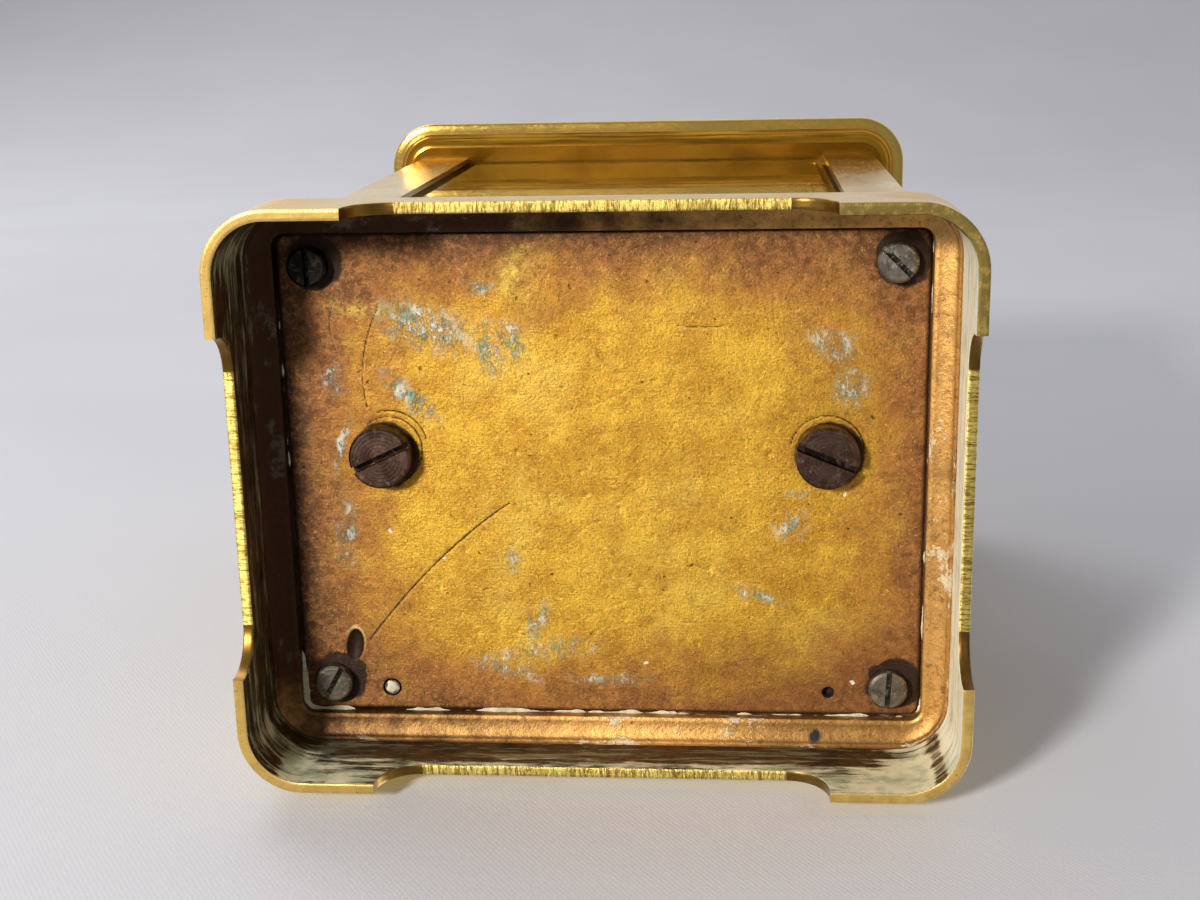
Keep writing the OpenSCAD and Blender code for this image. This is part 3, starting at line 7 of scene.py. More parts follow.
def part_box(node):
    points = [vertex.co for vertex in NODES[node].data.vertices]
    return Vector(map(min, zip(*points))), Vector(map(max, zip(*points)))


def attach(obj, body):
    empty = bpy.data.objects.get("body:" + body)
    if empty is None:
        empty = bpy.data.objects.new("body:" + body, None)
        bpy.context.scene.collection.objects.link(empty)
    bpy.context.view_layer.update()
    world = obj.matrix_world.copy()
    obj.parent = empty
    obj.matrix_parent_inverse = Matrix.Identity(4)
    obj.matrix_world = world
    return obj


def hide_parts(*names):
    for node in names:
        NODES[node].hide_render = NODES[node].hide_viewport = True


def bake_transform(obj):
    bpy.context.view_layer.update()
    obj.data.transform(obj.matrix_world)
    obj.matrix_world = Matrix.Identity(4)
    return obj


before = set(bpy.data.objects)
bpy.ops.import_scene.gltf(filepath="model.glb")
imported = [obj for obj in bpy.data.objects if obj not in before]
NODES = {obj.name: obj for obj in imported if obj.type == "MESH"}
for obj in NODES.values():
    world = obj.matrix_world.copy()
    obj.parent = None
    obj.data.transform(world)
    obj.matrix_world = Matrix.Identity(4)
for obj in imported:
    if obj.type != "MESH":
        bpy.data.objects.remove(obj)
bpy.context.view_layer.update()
MM = 0.001
scene = bpy.context.scene

# ---- camera
RIGHT = Vector((0.99648, 0.02070, 0.08128)).normalized()
AHEAD = Vector((-0.08387, 0.25598, 0.96304)).normalized()
UP = RIGHT.cross(AHEAD).normalized()
EYE = (0.01539, -0.05143, -0.16639)
cam_data = bpy.data.cameras.new("camera")
cam = bpy.data.objects.new("camera", cam_data)
scene.collection.objects.link(cam)
cam.matrix_world = Matrix([(RIGHT[i], UP[i], -AHEAD[i], EYE[i]) for i in range(3)] + [(0, 0, 0, 1)])
cam_data.sensor_width = 36
cam_data.lens = 50.2
cam_data.clip_start = 0.002
cam_data.clip_end = 60
scene.camera = cam
scene.view_settings.view_transform = "Standard"


# ---- node trees
class Wire:
    """A node's output. Sums and products of wires become Math nodes."""

    def __init__(self, tree, socket):
        self.tree = tree
        self.socket = socket

    def __add__(self, v):
        return self.tree.math("ADD", self, v)

    def __radd__(self, v):
        return self.tree.math("ADD", v, self)

    def __sub__(self, v):
        return self.tree.math("SUBTRACT", self, v)

    def __rsub__(self, v):
        return self.tree.math("SUBTRACT", v, self)

    def __mul__(self, v):
        return self.tree.math("MULTIPLY", self, v)

    def __truediv__(self, v):
        return self.tree.math("DIVIDE", self, v)

    def __pow__(self, v):
        return self.tree.math("POWER", self, v)

    def __abs__(self):
        return self.tree.math("ABSOLUTE", self)


class Tree:
    """The nodes of a material or a world. P is the object's own position in millimetres."""

    def __init__(self, owner):
        if isinstance(owner, str):
            owner = bpy.data.materials.new(owner)
        owner.use_nodes = True
        self.owner = owner
        self.nt = owner.node_tree
        self.nt.nodes.clear()
        here = self.node("TexCoord", out="Object")
        self.P = self.node("Mapping", {"Vector": here, "Scale": (1000, 1000, 1000)})

    def put(self, socket, v):
        if isinstance(v, Wire):
            self.nt.links.new(v.socket, socket)
        elif isinstance(v, (tuple, list)) and len(v) == 3 and socket.type == "RGBA":
            socket.default_value = (*v, 1)
        else:
            socket.default_value = v

    def node(self, kind, inputs=(), out=0, **props):
        """A new node with these inputs, by name or in order; gives one of its outputs."""
        n = self.nt.nodes.new("ShaderNode" + kind)
        for k, v in props.items():
            setattr(n, k, v)
        for k, v in inputs.items() if isinstance(inputs, dict) else enumerate(inputs):
            self.put(n.inputs[k], v)
        return Wire(self, n.outputs[out]) if n.outputs else n

    def place(self, scale=(1, 1, 1), loc=(0, 0, 0), rot=(0, 0, 0), vec=None):
        given = {"Vector": vec or self.P, "Scale": scale, "Location": loc, "Rotation": rot}
        return self.node("Mapping", given)

    def noise(self, scale, detail=3, rough=0.55, seed=0.0, vec=None, warp=0.0):
        given = {"Vector": vec or self.P, "Scale": scale, "Detail": detail, "Roughness": rough,
                 "Distortion": warp, "W": seed}
        return self.node("TexNoise", given, "Fac", noise_dimensions="4D")

    def cells(self, scale, vec=None):
        return self.node("TexVoronoi", {"Vector": vec or self.P, "Scale": scale}, "Distance")

    def span(self, v, a, b, c=0.0, d=1.0, kind="SMOOTHSTEP"):
        """v taken from the range a to b into the range c to d."""
        return self.node("MapRange", (v, a, b, c, d), interpolation_type=kind)

    def patch(self, scale, detail, rough, seed, a, b, c=0.0, d=1.0, vec=None, warp=0.0):
        """Noise cut into patches: c where it is under a, d where it is over b."""
        return self.span(self.noise(scale, detail, rough, seed, vec, warp), a, b, c, d)

    def math(self, op, a, b=0.0, clamp=False):
        return self.node("Math", (a, b), operation=op, use_clamp=clamp)

    def most(self, first, *rest):
        for v in rest:
            first = self.math("MAXIMUM", first, v)
        return first

    def mix(self, f, a, b):
        return self.node("Mix", {0: f, 6: a, 7: b}, 2, data_type="RGBA")

    def xyz(self, vec=None):
        n = self.nt.nodes.new("ShaderNodeSeparateXYZ")
        self.put(n.inputs[0], vec or self.P)
        return [Wire(self, part) for part in n.outputs]

    def blob(self, x, y, rx, ry, turn=0.0, soft=0.5, vec=None):
        """1 inside an oval patch of the XY plane, fading to 0 outside it."""
        v = self.place((1, 1, 0), (-x, -y, 0), vec=vec)
        v = self.place((1 / rx, 1 / ry, 1), vec=self.place(rot=(0, 0, -turn), vec=v))
        far = self.node("VectorMath", (v,), "Value", operation="LENGTH")
        return self.span(far, 1 + soft * 0.5, max(1 - soft, 0.0))

    def blobs(self, rows, soft, vec):
        """The strongest of several ovals; each row ends with the oval's strength."""
        return self.most(*[self.blob(*row[:5], soft, vec) * row[5] for row in rows])

    def warped(self, scale, size):
        """P pushed about by noise, up to size / 2 each way."""
        n = self.node("TexNoise", {"Vector": self.P, "Scale": scale, "Detail": 4}, "Color")
        n = self.node("VectorMath", (n, (0.5, 0.5, 0.5)), operation="SUBTRACT")
        n = self.node("VectorMath", {0: n, "Scale": size}, operation="SCALE")
        return self.node("VectorMath", (self.P, n), operation="ADD")

    def corner(self, reach=1.2):
        """1 in the open, 0 deep in a corner."""
        return self.node("AmbientOcclusion", {"Distance": reach * MM}, "AO", samples=4)

    def bump(self, height, size, prev=None):
        given = {"Distance": size * MM, "Strength": 1.0, "Height": height}
        if prev is not None:
            given["Normal"] = prev
        return self.node("Bump", given)

    def ray(self, kind):
        return self.node("LightPath", out="Is " + kind + " Ray")

    def surface(self, shader):
        self.node("OutputMaterial", {"Surface": shader})
        return self.owner

    def shader(self, colour, rough, metal=1.0, normal=None, **fixed):
        given = {"Base Color": colour, "Roughness": rough, "Metallic": metal}
        if normal is not None:
            given["Normal"] = normal
        given.update({k.replace("_", " "): v for k, v in fixed.items()})
        return self.node("BsdfPrincipled", given)

    def coat(self, mask, colour):
        """Lays a colour over the tone where the mask is 1."""
        self.tone = self.mix(mask, self.tone, colour)

    def done(self, rough, metal=1.0, normal=None, **fixed):
        return self.surface(self.shader(self.tone, rough, metal, normal, **fixed))


# ---- materials
def brass(name, light, dark, rough=0.2, grain=(3.0, 3.0, 0.25), dirt_and_shade=0.8, spots=0.5, wear=0.25,
          fine_bump=0.005, wave=0.04, streak=0.0):
    """Polished or grained brass: slow changes of tone, brown specks, hairlines, and corners darkened with
    soiling and painted shade.
    """
    t = Tree(name)
    slow = t.noise(0.06, 5, 0.6, warp=0.6)
    t.tone = t.mix(t.span(slow, 0.35, 0.68), light, dark)
    t.coat(t.patch(1.6, 4, 0.6, 3, 0.5, 0.75) * 0.22, [c * 0.72 for c in dark])
    speck = t.patch(2.4, 2, 0.5, 9, 0.68, 0.80) * t.patch(0.08, 3, 0.5, 8, 0.45, 0.7)
    t.coat(speck * spots, (0.13, 0.065, 0.02))
    # painted shade mixed with dirt: darker brown in corners and hollows, found by occlusion
    grime_and_shade = t.span(t.corner(1.4), 0.75, 0.25) * t.patch(0.5, 4, 0.6, 5, 0.2, 0.7, 0.5, 1.0) * dirt_and_shade
    t.coat(grime_and_shade, (0.10, 0.055, 0.02))
    lines = t.noise(1.0, 3, 0.6, 1, t.place(grain))
    if streak:
        t.coat(t.span(lines, 0.44, 0.62) * streak, [c * 0.5 for c in dark])
    r = rough + t.span(slow, 0.3, 0.75) * wear + grime_and_shade * 0.35 + t.span(lines, 0.4, 0.75) * 0.08
    n = t.bump(t.noise(0.2, 3, 0.5, 7), wave)
    return t.done(r, 1.0, t.bump(lines, fine_bump, n))


def steel(name, light, dark, rough=0.3, rust=0.3, centres=None, ring=0.0, pitting=0.02):
    """Worn steel with rust stains. Turned marks ring each screw's centre, mirrored in x, and in y unless
    centres has a third value."""
    t = Tree(name)
    slow = t.noise(0.55, 5, 0.65, warp=0.4)
    t.tone = t.mix(t.span(slow, 0.35, 0.65), light, dark)
    stain = t.patch(1.1, 5, 0.7, 4, 0.52, 0.72)
    t.coat(stain * rust, (0.11, 0.05, 0.025))
    # painted shade: near black in the slots and corners, found by occlusion
    t.coat(t.span(t.corner(1.2), 0.85, 0.45) * 0.9, (0.008, 0.006, 0.005))
    height = t.noise(3.0, 4, 0.65, 2)
    if centres:
        x, y = t.xyz()[:2]
        u = abs(x) - centres[0]
        v = (y if len(centres) > 2 else abs(y)) - centres[1]
        w = t.math("SINE", t.math("SQRT", u * u + v * v) * (2 * pi / ring))
        height = t.span(w, -0.2, 1.0) * 0.3 + height
        t.coat(t.span(w, 0.55, 1.0) * t.span(slow, 0.35, 0.6) * 0.30, [c * 0.45 for c in dark])
        bare = t.patch(0.9, 6, 0.75, 12, 0.52, 0.62, warp=0.6)
        t.coat(bare * 0.6, [c * 1.7 for c in light])
    if centres and len(centres) == 2:  # painted shadow: the front left screw is painted near black, as it lies in the shade of that corner
        film = t.span(x, -27, -30) * t.span(y, -19, -22) * t.span(bare, 0, 1, 0.97, 0.88)
        t.coat(film, (0.012, 0.010, 0.009))
    r = rough + t.span(slow, 0.3, 0.7) * 0.18 + stain * 0.2
    return t.done(r, t.span(stain, 0.0, 1.0, 1.0, 1.0 - 0.7 * rust), t.bump(height, pitting))


def glass(name, tint):
    """Polished plate glass, which lets the lamps through."""
    t = Tree(name)
    smear = t.patch(0.12, 5, 0.7, 3, 0.5, 0.85, 0.0, 0.012)
    pane = t.shader(tint, smear, 0.0, t.bump(t.noise(0.04, 2, 0.4), 0.004), Transmission_Weight=1.0, IOR=1.52)
    clear = t.node("BsdfTransparent", ([c ** 0.5 for c in tint],))
    return t.surface(t.node("MixShader", (t.most(t.ray("Shadow"), t.ray("Diffuse")), pane, clear)))


def enamel(name, white):
    t = Tree(name)
    cloud = t.noise(0.08, 4, 0.6)
    t.tone = t.mix(t.span(cloud, 0.35, 0.7), white, [c * 0.93 for c in white])
    t.coat(t.span(t.cells(1.1), 0.045, 0.02) * 0.5, (0.25, 0.2, 0.15))
    n = t.bump(t.noise(0.5, 3, 0.5, 2), 0.03)
    r = t.span(cloud, 0.3, 0.7, 0.12, 0.22)
    return t.done(r, 0.0, n, Coat_Weight=0.4, Coat_Roughness=0.06)


def paint(name, colour):
    t = Tree(name)
    thin = t.noise(1.5, 4, 0.6)
    t.tone = t.mix(t.span(thin, 0.5, 0.8), colour, [c * 2.2 + 0.01 for c in colour])
    return t.done(t.span(thin, 0.3, 0.7, 0.25, 0.45), 0.0, t.bump(thin, 0.01))


# oval patches on the floor plate: x, y, half lengths, turn and strength
RUBBED = ((-9.5, -23.5, 1.5, 3.2, 0.35, 0.8), (-26, -19.5, 4.5, 1.0, 0.1, 0.6),
          (-16, -18, 5, 2.2, 0.2, 0.35), (6, 9, 9, 6, 0, 0.3))
VERDIGRIS = ((-19.5, -17.6, 5.2, 2.6, 0.35, 0.95), (-12.2, -15.2, 2.0, 3.0, -0.3, 0.9),
             (-9.6, -15.8, 1.0, 2.6, -0.2, 0.8), (-21.5, -9.4, 4.0, 1.2, 0.75, 1.0),
             (-30.0, -11.8, 1.3, 1.6, 0.3, 1.0), (-29.6, -4.0, 0.5, 3.0, 0.3, 0.9),
             (-13.3, -22.2, 1.8, 0.8, 0.1, 1.0), (25.5, -15.5, 2.6, 1.6, 0.5, 0.8),
             (27.5, -10.5, 1.8, 2.0, 0.3, 0.8), (-7, 20.5, 6, 1.3, -0.15, 0.75),
             (-12, 22.8, 4.0, 0.9, 0.3, 0.8), (17, 13.6, 3.0, 0.8, 0.3, 1.0),
             (21, 5.2, 2.0, 1.6, -0.5, 0.75), (22, 1.5, 1.6, 0.5, -0.3, 0.8),
             (-8, 16.8, 1.0, 2.2, 0.3, 0.7), (-10.6, 9.5, 0.8, 1.6, 0.2, 0.7),
             (-29.5, 6, 1.2, 4.0, 0.1, 0.7), (0, 24, 5, 0.8, 0, 0.6))


def plate_metal():
    """The floor plate's underside: golden in the middle, coppery and speckled towards the edges."""
    t = Tree("plate_metal")
    w = t.warped(0.12, 7.0)
    x, y = t.xyz(w)[:2]
    edge = ((abs(x - 1.5) / 36.0) ** 4.0 + (abs(y - 1.0) / 28.5) ** 4.0) ** (1 / 4.0)
    cop = t.span(edge + (t.noise(0.14, 6, 0.68, 2) - 0.5) * 0.75, 0.58, 0.98)
    rim = t.span(edge + (t.noise(0.5, 5, 0.7, 3) - 0.5) * 0.30, 0.80, 1.0)
    gold = t.mix(t.patch(0.22, 6, 0.68, 11, 0.36, 0.64), (0.87, 0.50, 0.046), (0.63, 0.310, 0.026))
    gold = t.mix(t.patch(0.10, 4, 0.6, 19, 0.5, 0.66) * 0.55, gold, (0.92, 0.60, 0.095))
    copper = t.mix(t.patch(0.4, 6, 0.7, 12, 0.34, 0.66), (0.56, 0.225, 0.048), (0.31, 0.105, 0.024))
    t.tone = t.mix(cop, gold, copper)
    dark = t.mix(t.patch(1.2, 5, 0.7, 4, 0.42, 0.58), (0.05, 0.024, 0.012), (0.40, 0.17, 0.06))
    t.coat(rim * 0.62, dark)
    brown = t.patch(0.8, 6, 0.75, 13, 0.53, 0.70)
    t.coat(brown * t.span(cop, 0, 1, 0.30, 0.60), (0.20, 0.085, 0.025))
    grain = t.patch(2.6, 4, 0.75, 14, 0.50, 0.66)
    t.coat(grain * t.span(cop, 0.0, 1.0, 0.42, 0.62), (0.17, 0.068, 0.016))
    t.coat(t.patch(5.0, 3, 0.7, 17, 0.50, 0.70) * 0.52, (0.085, 0.032, 0.008))
    bright = t.patch(3.2, 3, 0.65, 15, 0.57, 0.70)
    t.coat(bright * t.span(cop, 0.0, 1.0, 0.7, 0.35), (0.97, 0.68, 0.16))
    pits = t.span(t.cells(0.42, w), 0.085, 0.045)
    t.coat(pits * t.patch(0.2, 2, 0.55, 16, 0.45, 0.6) * 0.8, (0.045, 0.02, 0.010))
    # browner where the film is left, at the rear right and round the right-hand verdigris
    px, py = t.xyz()[:2]
    ww = t.warped(0.6, 3.0)
    left_film = t.blob(26.5, -9.5, 5.5, 7.5, 0.2, 0.8, ww) * 0.9
    left_film = t.most(t.span(px, 4, 19) * t.span(py, 11, 24), left_film)
    left_film = left_film * t.patch(0.7, 6, 0.75, 44, 0.34, 0.58, 0.30, 1.0)
    t.coat(left_film * 0.46, (0.24, 0.092, 0.022))
    rub = t.blobs(RUBBED, 0.9, ww)
    t.coat(rub * t.patch(1.0, 5, 0.75, 18, 0.42, 0.58), (0.84, 0.60, 0.10))
    crust = t.patch(0.9, 7, 0.78, 21, 0.475, 0.53, vec=t.place((1.4, 0.8, 1), rot=(0, 0, 0.7)))
    green = t.blobs(VERDIGRIS, 0.85, ww) * (crust * 0.90 + 0.08)
    chalk = t.mix(t.patch(0.55, 5, 0.7, 22, 0.44, 0.57), (0.24, 0.42, 0.33), (0.84, 0.87, 0.74))
    t.coat(t.math("MULTIPLY", green, 0.95, True), chalk)
    flecks = t.span(t.cells(0.15, t.warped(1.2, 0.8)), 0.045, 0.03)
    t.coat(flecks * 0.85, (0.86, 0.83, 0.72))
    # scratches, seats of the screws, dirt and painted shadow beside the screws, painted shade in and round
    # the holes, and painted glints are marked on the mesh
    marks_and_shade = t.node("Attribute", out="Fac", attribute_name="marks_and_shade")
    glint = t.node("Attribute", out="Fac", attribute_name="glint")
    marks_and_shade = t.span(marks_and_shade + (t.noise(1.6, 5, 0.75, 43) - 0.5) * 0.9, 0.22, 0.62)
    # painted highlight: glints on the gouge's lip and the scratches' burrs
    t.coat(glint * 0.8, (0.92, 0.66, 0.25))
    t.coat(marks_and_shade * 0.93, (0.022, 0.011, 0.006))
    # painted shade: near black close to the walls, screws and polish, found by occlusion
    near = t.span(t.corner(2.0), 0.70, 0.30)
    t.coat(near * 0.88, (0.018, 0.010, 0.006))
    # painted shadow: near black along the left and front margins, where the skirt walls cast their shadow
    film = t.most(t.span(px, -31.0, -35.5), t.span(py, -24.0, -28.0) * t.span(px, 8, -20, 0.35, 1.0))
    t.coat(film * t.patch(0.9, 6, 0.78, 41, 0.36, 0.56) * 0.85, (0.05, 0.020, 0.010))
    lines = t.noise(1.0, 4, 0.65, 31, t.place((0.25, 5.0, 1.0), rot=(0, 0, 0.5)))
    grit = t.noise(3.4, 4, 0.75, 32)
    # verdigris, pale flecks and the painted-shade mask together set roughness and metalness
    deposits_and_shade = t.most(green * 0.9, t.most(near * 0.5, flecks))
    r = 0.40 + cop * 0.08 + grit * 0.14 + deposits_and_shade * 0.3
    metal = t.math("SUBTRACT", t.span(cop, 0, 1, 0.70, 0.60), deposits_and_shade * 0.6, True)
    n = t.bump(t.noise(0.35, 4, 0.6, 33), 0.12)
    n = t.bump(grit * 1.4 + lines * 0.5 + green * 1.0 + pits * -1.2 + marks_and_shade * -0.5, 0.07, n)
    return t.done(r, metal, n)


def inner_metal():
    """Inside of the skirt: bare casting under brown film, with pale polish and verdigris left in it; the
    right wall is painted lighter, with painted highlights, where the light falls.
    """
    t = Tree("inner_metal")
    x, y, z = t.xyz()
    right = t.span(x, 37.2, 38.4)
    left = t.span(x, -37.2, -38.4)
    rear = t.span(y, 29.6, 30.6)
    streak = t.noise(1.0, 5, 0.62, 1, t.place((0.11, 0.11, 1.1)), 0.5)
    patch = t.noise(0.28, 5, 0.65, 2)
    film = t.mix(t.span(patch, 0.35, 0.65), (0.030, 0.019, 0.010), (0.11, 0.058, 0.022))
    fleck = t.noise(1.0, 6, 0.75, 5, t.place((0.35, 0.35, 1.6)), 0.8)
    film = t.mix(t.span(streak, 0.50, 0.60) * 0.9, film, (0.26, 0.26, 0.17))
    film = t.mix(t.span(fleck, 0.55, 0.66) * (1.0 - right * 0.4) * 0.75, film, (0.33, 0.35, 0.21))
    # painted light: the right wall's film is lighter and more orange, the side the light falls on
    film = t.mix(right * 0.75, film, (0.42, 0.235, 0.075))
    rim = t.span(z, 9.0, 5.0)
    bend = t.span(abs(x), 30, 36) * t.span(abs(y), 22, 28)
    # cream polish, with more of it on the right wall, partly painted light there
    keep = right * 0.36 + rear * rim * 0.15 + bend * 0.09 + rear * t.span(x, 24, 34) * 0.12 + left * 0.05
    cream = t.span(streak * 0.50 + patch * 0.20 + fleck * 0.30 + keep, 0.59, 0.70)
    scum = t.mix(t.patch(0.35, 4, 0.6, 4, 0.42, 0.66), (0.78, 0.72, 0.48), (0.40, 0.46, 0.29))
    # painted highlight: near-white streaks along the right wall
    scum = t.mix(right * t.span(streak, 0.36, 0.56) * 0.9, scum, (0.93, 0.91, 0.74))
    t.tone = t.mix(cream * 0.94, film, scum)
    # painted shade: darker in the corners, found by occlusion
    t.coat(t.span(t.corner(1.0), 0.55, 0.2) * 0.6, (0.05, 0.03, 0.015))
    grit = t.noise(2.5, 5, 0.7, 6)
    n = t.bump(grit + cream, 0.05, t.bump(t.noise(0.6, 4, 0.6, 8), 0.10))
    return t.done(0.42 + cream * 0.35 + grit * 0.15, t.span(cream, 0, 1, 0.55, 0.0), n)


def band_metal():
    """The coved band under the floor plate: coppery orange, painted darker to the left and lighter to the
    right and rear, as painted shade and light.
    """
    t = Tree("band_metal")
    x, y = t.xyz()[:2]
    patch = t.noise(0.30, 5, 0.65, 2)
    # painted light and shade: dark on the left, lighter towards the right and rear, as the light falls
    glow = t.span(x, -36, 36, 0.05, 0.75) + t.span(y, 10, 31, 0.0, 0.35)
    t.tone = t.mix(t.span(glow + (patch - 0.5) * 0.9, 0.2, 0.95), (0.058, 0.024, 0.010), (0.82, 0.43, 0.12))
    t.coat(t.patch(1.4, 5, 0.7, 3, 0.5, 0.7) * 0.6, (0.075, 0.034, 0.015))
    stain = t.span(x, 4, 24) * t.span(y, 25, 29) * t.span(patch, 0.30, 0.55, 0.5, 1.0)
    t.coat(stain * 0.62, (0.095, 0.042, 0.014))
    residue = t.patch(0.5, 5, 0.7, 5, 0.56, 0.63, vec=t.place((0.4, 0.4, 1.6)))
    residue = residue * t.span(x + y, -10, 30, 0.1, 0.75)
    t.coat(residue, (0.68, 0.64, 0.46))
    t.coat(t.patch(4.5, 3, 0.7, 9, 0.54, 0.66) * 0.55, (0.10, 0.042, 0.014))
    nick = t.blob(23.9, 30.0, 0.75, 0.8, 0.4, 0.5, t.warped(0.9, 0.9))
    t.coat(nick * 0.95, (0.020, 0.022, 0.028))
    grit = t.noise(2.6, 4, 0.7, 6)
    n = t.bump(grit + residue, 0.05, t.bump(patch, 0.10))
    return t.done(0.34 + grit * 0.2 + residue * 0.3, t.span(residue, 0, 1, 0.85, 0.1), n)


def foot_metal():
    """Worn undersides of the feet: bright where they rub, olive at the front right."""
    t = Tree("foot_metal")
    rub = t.noise(0.4, 5, 0.65, warp=0.5)
    t.tone = t.mix(t.span(rub, 0.35, 0.65), (0.92, 0.60, 0.17), (0.70, 0.44, 0.11))
    t.coat(t.patch(2.2, 4, 0.7, 4, 0.56, 0.72) * 0.7, (0.34, 0.19, 0.05))
    x, y = t.xyz()[:2]
    olive = t.span(x, 12, 22) * t.span(y, 0, -6) * t.patch(0.9, 5, 0.7, 7, 0.36, 0.54, 0.45, 1.0)
    t.coat(olive * 0.88, (0.23, 0.17, 0.035))
    lines = t.noise(1.0, 3, 0.6, 5, t.place((6.0, 0.6, 1), rot=(0, 0, 0.6)))
    return t.done(0.24 + rub * 0.22, 0.62, t.bump(lines + rub * 2.0, 0.025))


def filed_metal():
    """Edges between the feet, dressed with a file across the wall."""
    t = Tree("filed_metal")
    x = t.xyz()[0]
    side = t.span(abs(x) - 37.5, -0.2, 0.2)
    u = t.noise(1.0, 4, 0.75, 1, t.place((4.6, 0.7, 0.3), rot=(0, 0, 0.42)))
    v = t.noise(1.0, 4, 0.75, 2, t.place((0.7, 4.6, 0.3), rot=(0, 0, 0.42)))
    marks = u * (1.0 - side) + v * side
    t.tone = t.mix(t.span(marks, 0.40, 0.56), (0.30, 0.17, 0.03), (0.97, 0.74, 0.19))
    t.coat(t.patch(0.5, 4, 0.6, 3, 0.5, 0.75) * 0.5, (0.33, 0.19, 0.05))
    return t.done(0.26 + marks * 0.2, 0.85, t.bump(marks, 0.14))


def polish_stuff():
    t = Tree("dried_polish")
    t.tone = t.mix(t.patch(0.8, 5, 0.7, 0, 0.35, 0.65), (0.80, 0.71, 0.49), (0.50, 0.47, 0.30))
    t.coat(t.patch(2.5, 4, 0.7, 3, 0.55, 0.7) * 0.6, (0.22, 0.15, 0.08))
    return t.done(0.85, 0.0, t.bump(t.noise(3.0, 5, 0.7, 4), 0.08))


ROUND = (3.0, 3.0, 3.0)
PILLAR_SCREWS = (32.1, 24.5)  # in all four corners
MOVEMENT_SCREWS = (24.9, -3.1)  # one on each side
HOLE_X, HOLE_Y = 25.4, 25.35  # small holes at the rear of the floor plate
GILT = brass("gilt", (0.87, 0.59, 0.14), (0.75, 0.45, 0.08), 0.10, dirt_and_shade=0.85, spots=0.35, wear=0.14,
             wave=0.02)
GILT_SKIRT = brass("gilt_skirt", (0.87, 0.60, 0.16), (0.73, 0.45, 0.09), 0.14, (0.3, 0.3, 3.0), dirt_and_shade=0.7,
                   spots=0.6, wear=0.2, wave=0.03)
# painted shade: a dark copy of the base's brass for the arches between feet and edge
SHADED_ARC = brass("shaded_foot_arc", (0.34, 0.185, 0.035), (0.15, 0.075, 0.018), 0.24, dirt_and_shade=0.9, spots=0.7)
MASK = brass("mask_gilt", (0.76, 0.50, 0.15), (0.66, 0.41, 0.11), 0.40, (2.5, 2.5, 2.5), dirt_and_shade=0.5,
             spots=0.25, fine_bump=0.02)
# painted shade: a darker, more orange copy of the gilt for the cap's lower moulding and underside
SHADED_COVE = brass("shaded_cove_gilt", (0.74, 0.37, 0.035), (0.50, 0.21, 0.016), 0.13, (0.06, 0.06, 2.2), dirt_and_shade=0.8,
             spots=0.2, wear=0.12, fine_bump=0.002, wave=0.012, streak=0.8)
GRAINED = brass("grained_brass", (0.82, 0.58, 0.22), (0.74, 0.49, 0.16), 0.28, (4.0, 0.5, 0.2), dirt_and_shade=0.6,
                spots=0.25, fine_bump=0.012)
WHEEL = brass("wheel_brass", (0.82, 0.59, 0.23), (0.72, 0.48, 0.16), 0.16, ROUND, dirt_and_shade=0.6, spots=0.3)
BALANCE = brass("balance_brass", (0.86, 0.62, 0.25), (0.80, 0.52, 0.20), 0.10, ROUND, dirt_and_shade=0.4, spots=0.15)
PLATE = plate_metal()
INNER = inner_metal()
BAND = band_metal()
FOOT = foot_metal()
FILED = filed_metal()
POLISH = polish_stuff()
SMALL_SCREWS = steel("small_screw_steel", (0.38, 0.33, 0.26), (0.15, 0.12, 0.09), 0.32, 0.5,
                     PILLAR_SCREWS, 0.55)
BIG_SCREWS = steel("big_screw_steel", (0.17, 0.100, 0.072), (0.060, 0.032, 0.022), 0.34, 0.7,
                   (*MOVEMENT_SCREWS, 1), 0.42)
STEEL = steel("train_steel", (0.60, 0.60, 0.61), (0.53, 0.53, 0.54), 0.17, 0.05, pitting=0.0008)
PIN_STEEL = steel("pin_steel", (0.34, 0.30, 0.25), (0.20, 0.17, 0.14), 0.32, 0.4)
SPRING = steel("spring_steel", (0.36, 0.37, 0.40), (0.28, 0.29, 0.32), 0.22, 0.05, pitting=0.001)
BLUED = steel("blued_steel", (0.030, 0.055, 0.25), (0.020, 0.030, 0.13), 0.18, 0.0, pitting=0.003)
GLASS = glass("bevelled_glass", (0.955, 0.985, 0.965))
ENAMEL = enamel("white_enamel", (0.80, 0.79, 0.75))
INK = paint("dial_black", (0.012, 0.012, 0.014))
RUBY = paint("ruby", (0.30, 0.008, 0.02))

PILLARS = "front_left_pillar front_right_pillar rear_left_pillar rear_right_pillar"
LOOK_ROWS = (
    (GILT, PILLARS + " handle_posts handle door_frame door_knob door_stop"),
    (MASK, "dial_mask"),
    (SMALL_SCREWS, "pillar_screws"),
    (BIG_SCREWS, "movement_screws"),
    (PIN_STEEL, "handle_pivots door_hinge_pins"),
    (GLASS, "front_glass left_glass right_glass top_glass door_glass"),
    (GRAINED, "front_plate back_plate movement_pillars barrel barrel_cap platform balance_cock train_bridge"),
    (WHEEL, "intermediate_wheel centre_wheel third_wheel contrate_wheel escape_wheel minute_wheel "
            "hour_wheel"),
    (BALANCE, "balance_wheel"),
    (SPRING, "mainspring ratchet_wheel"),
    (BLUED, "hairspring minute_hand hour_hand"),
    (ENAMEL, "dial"))
LOOK = {k: m for m, names in LOOK_ROWS for k in names.split()}
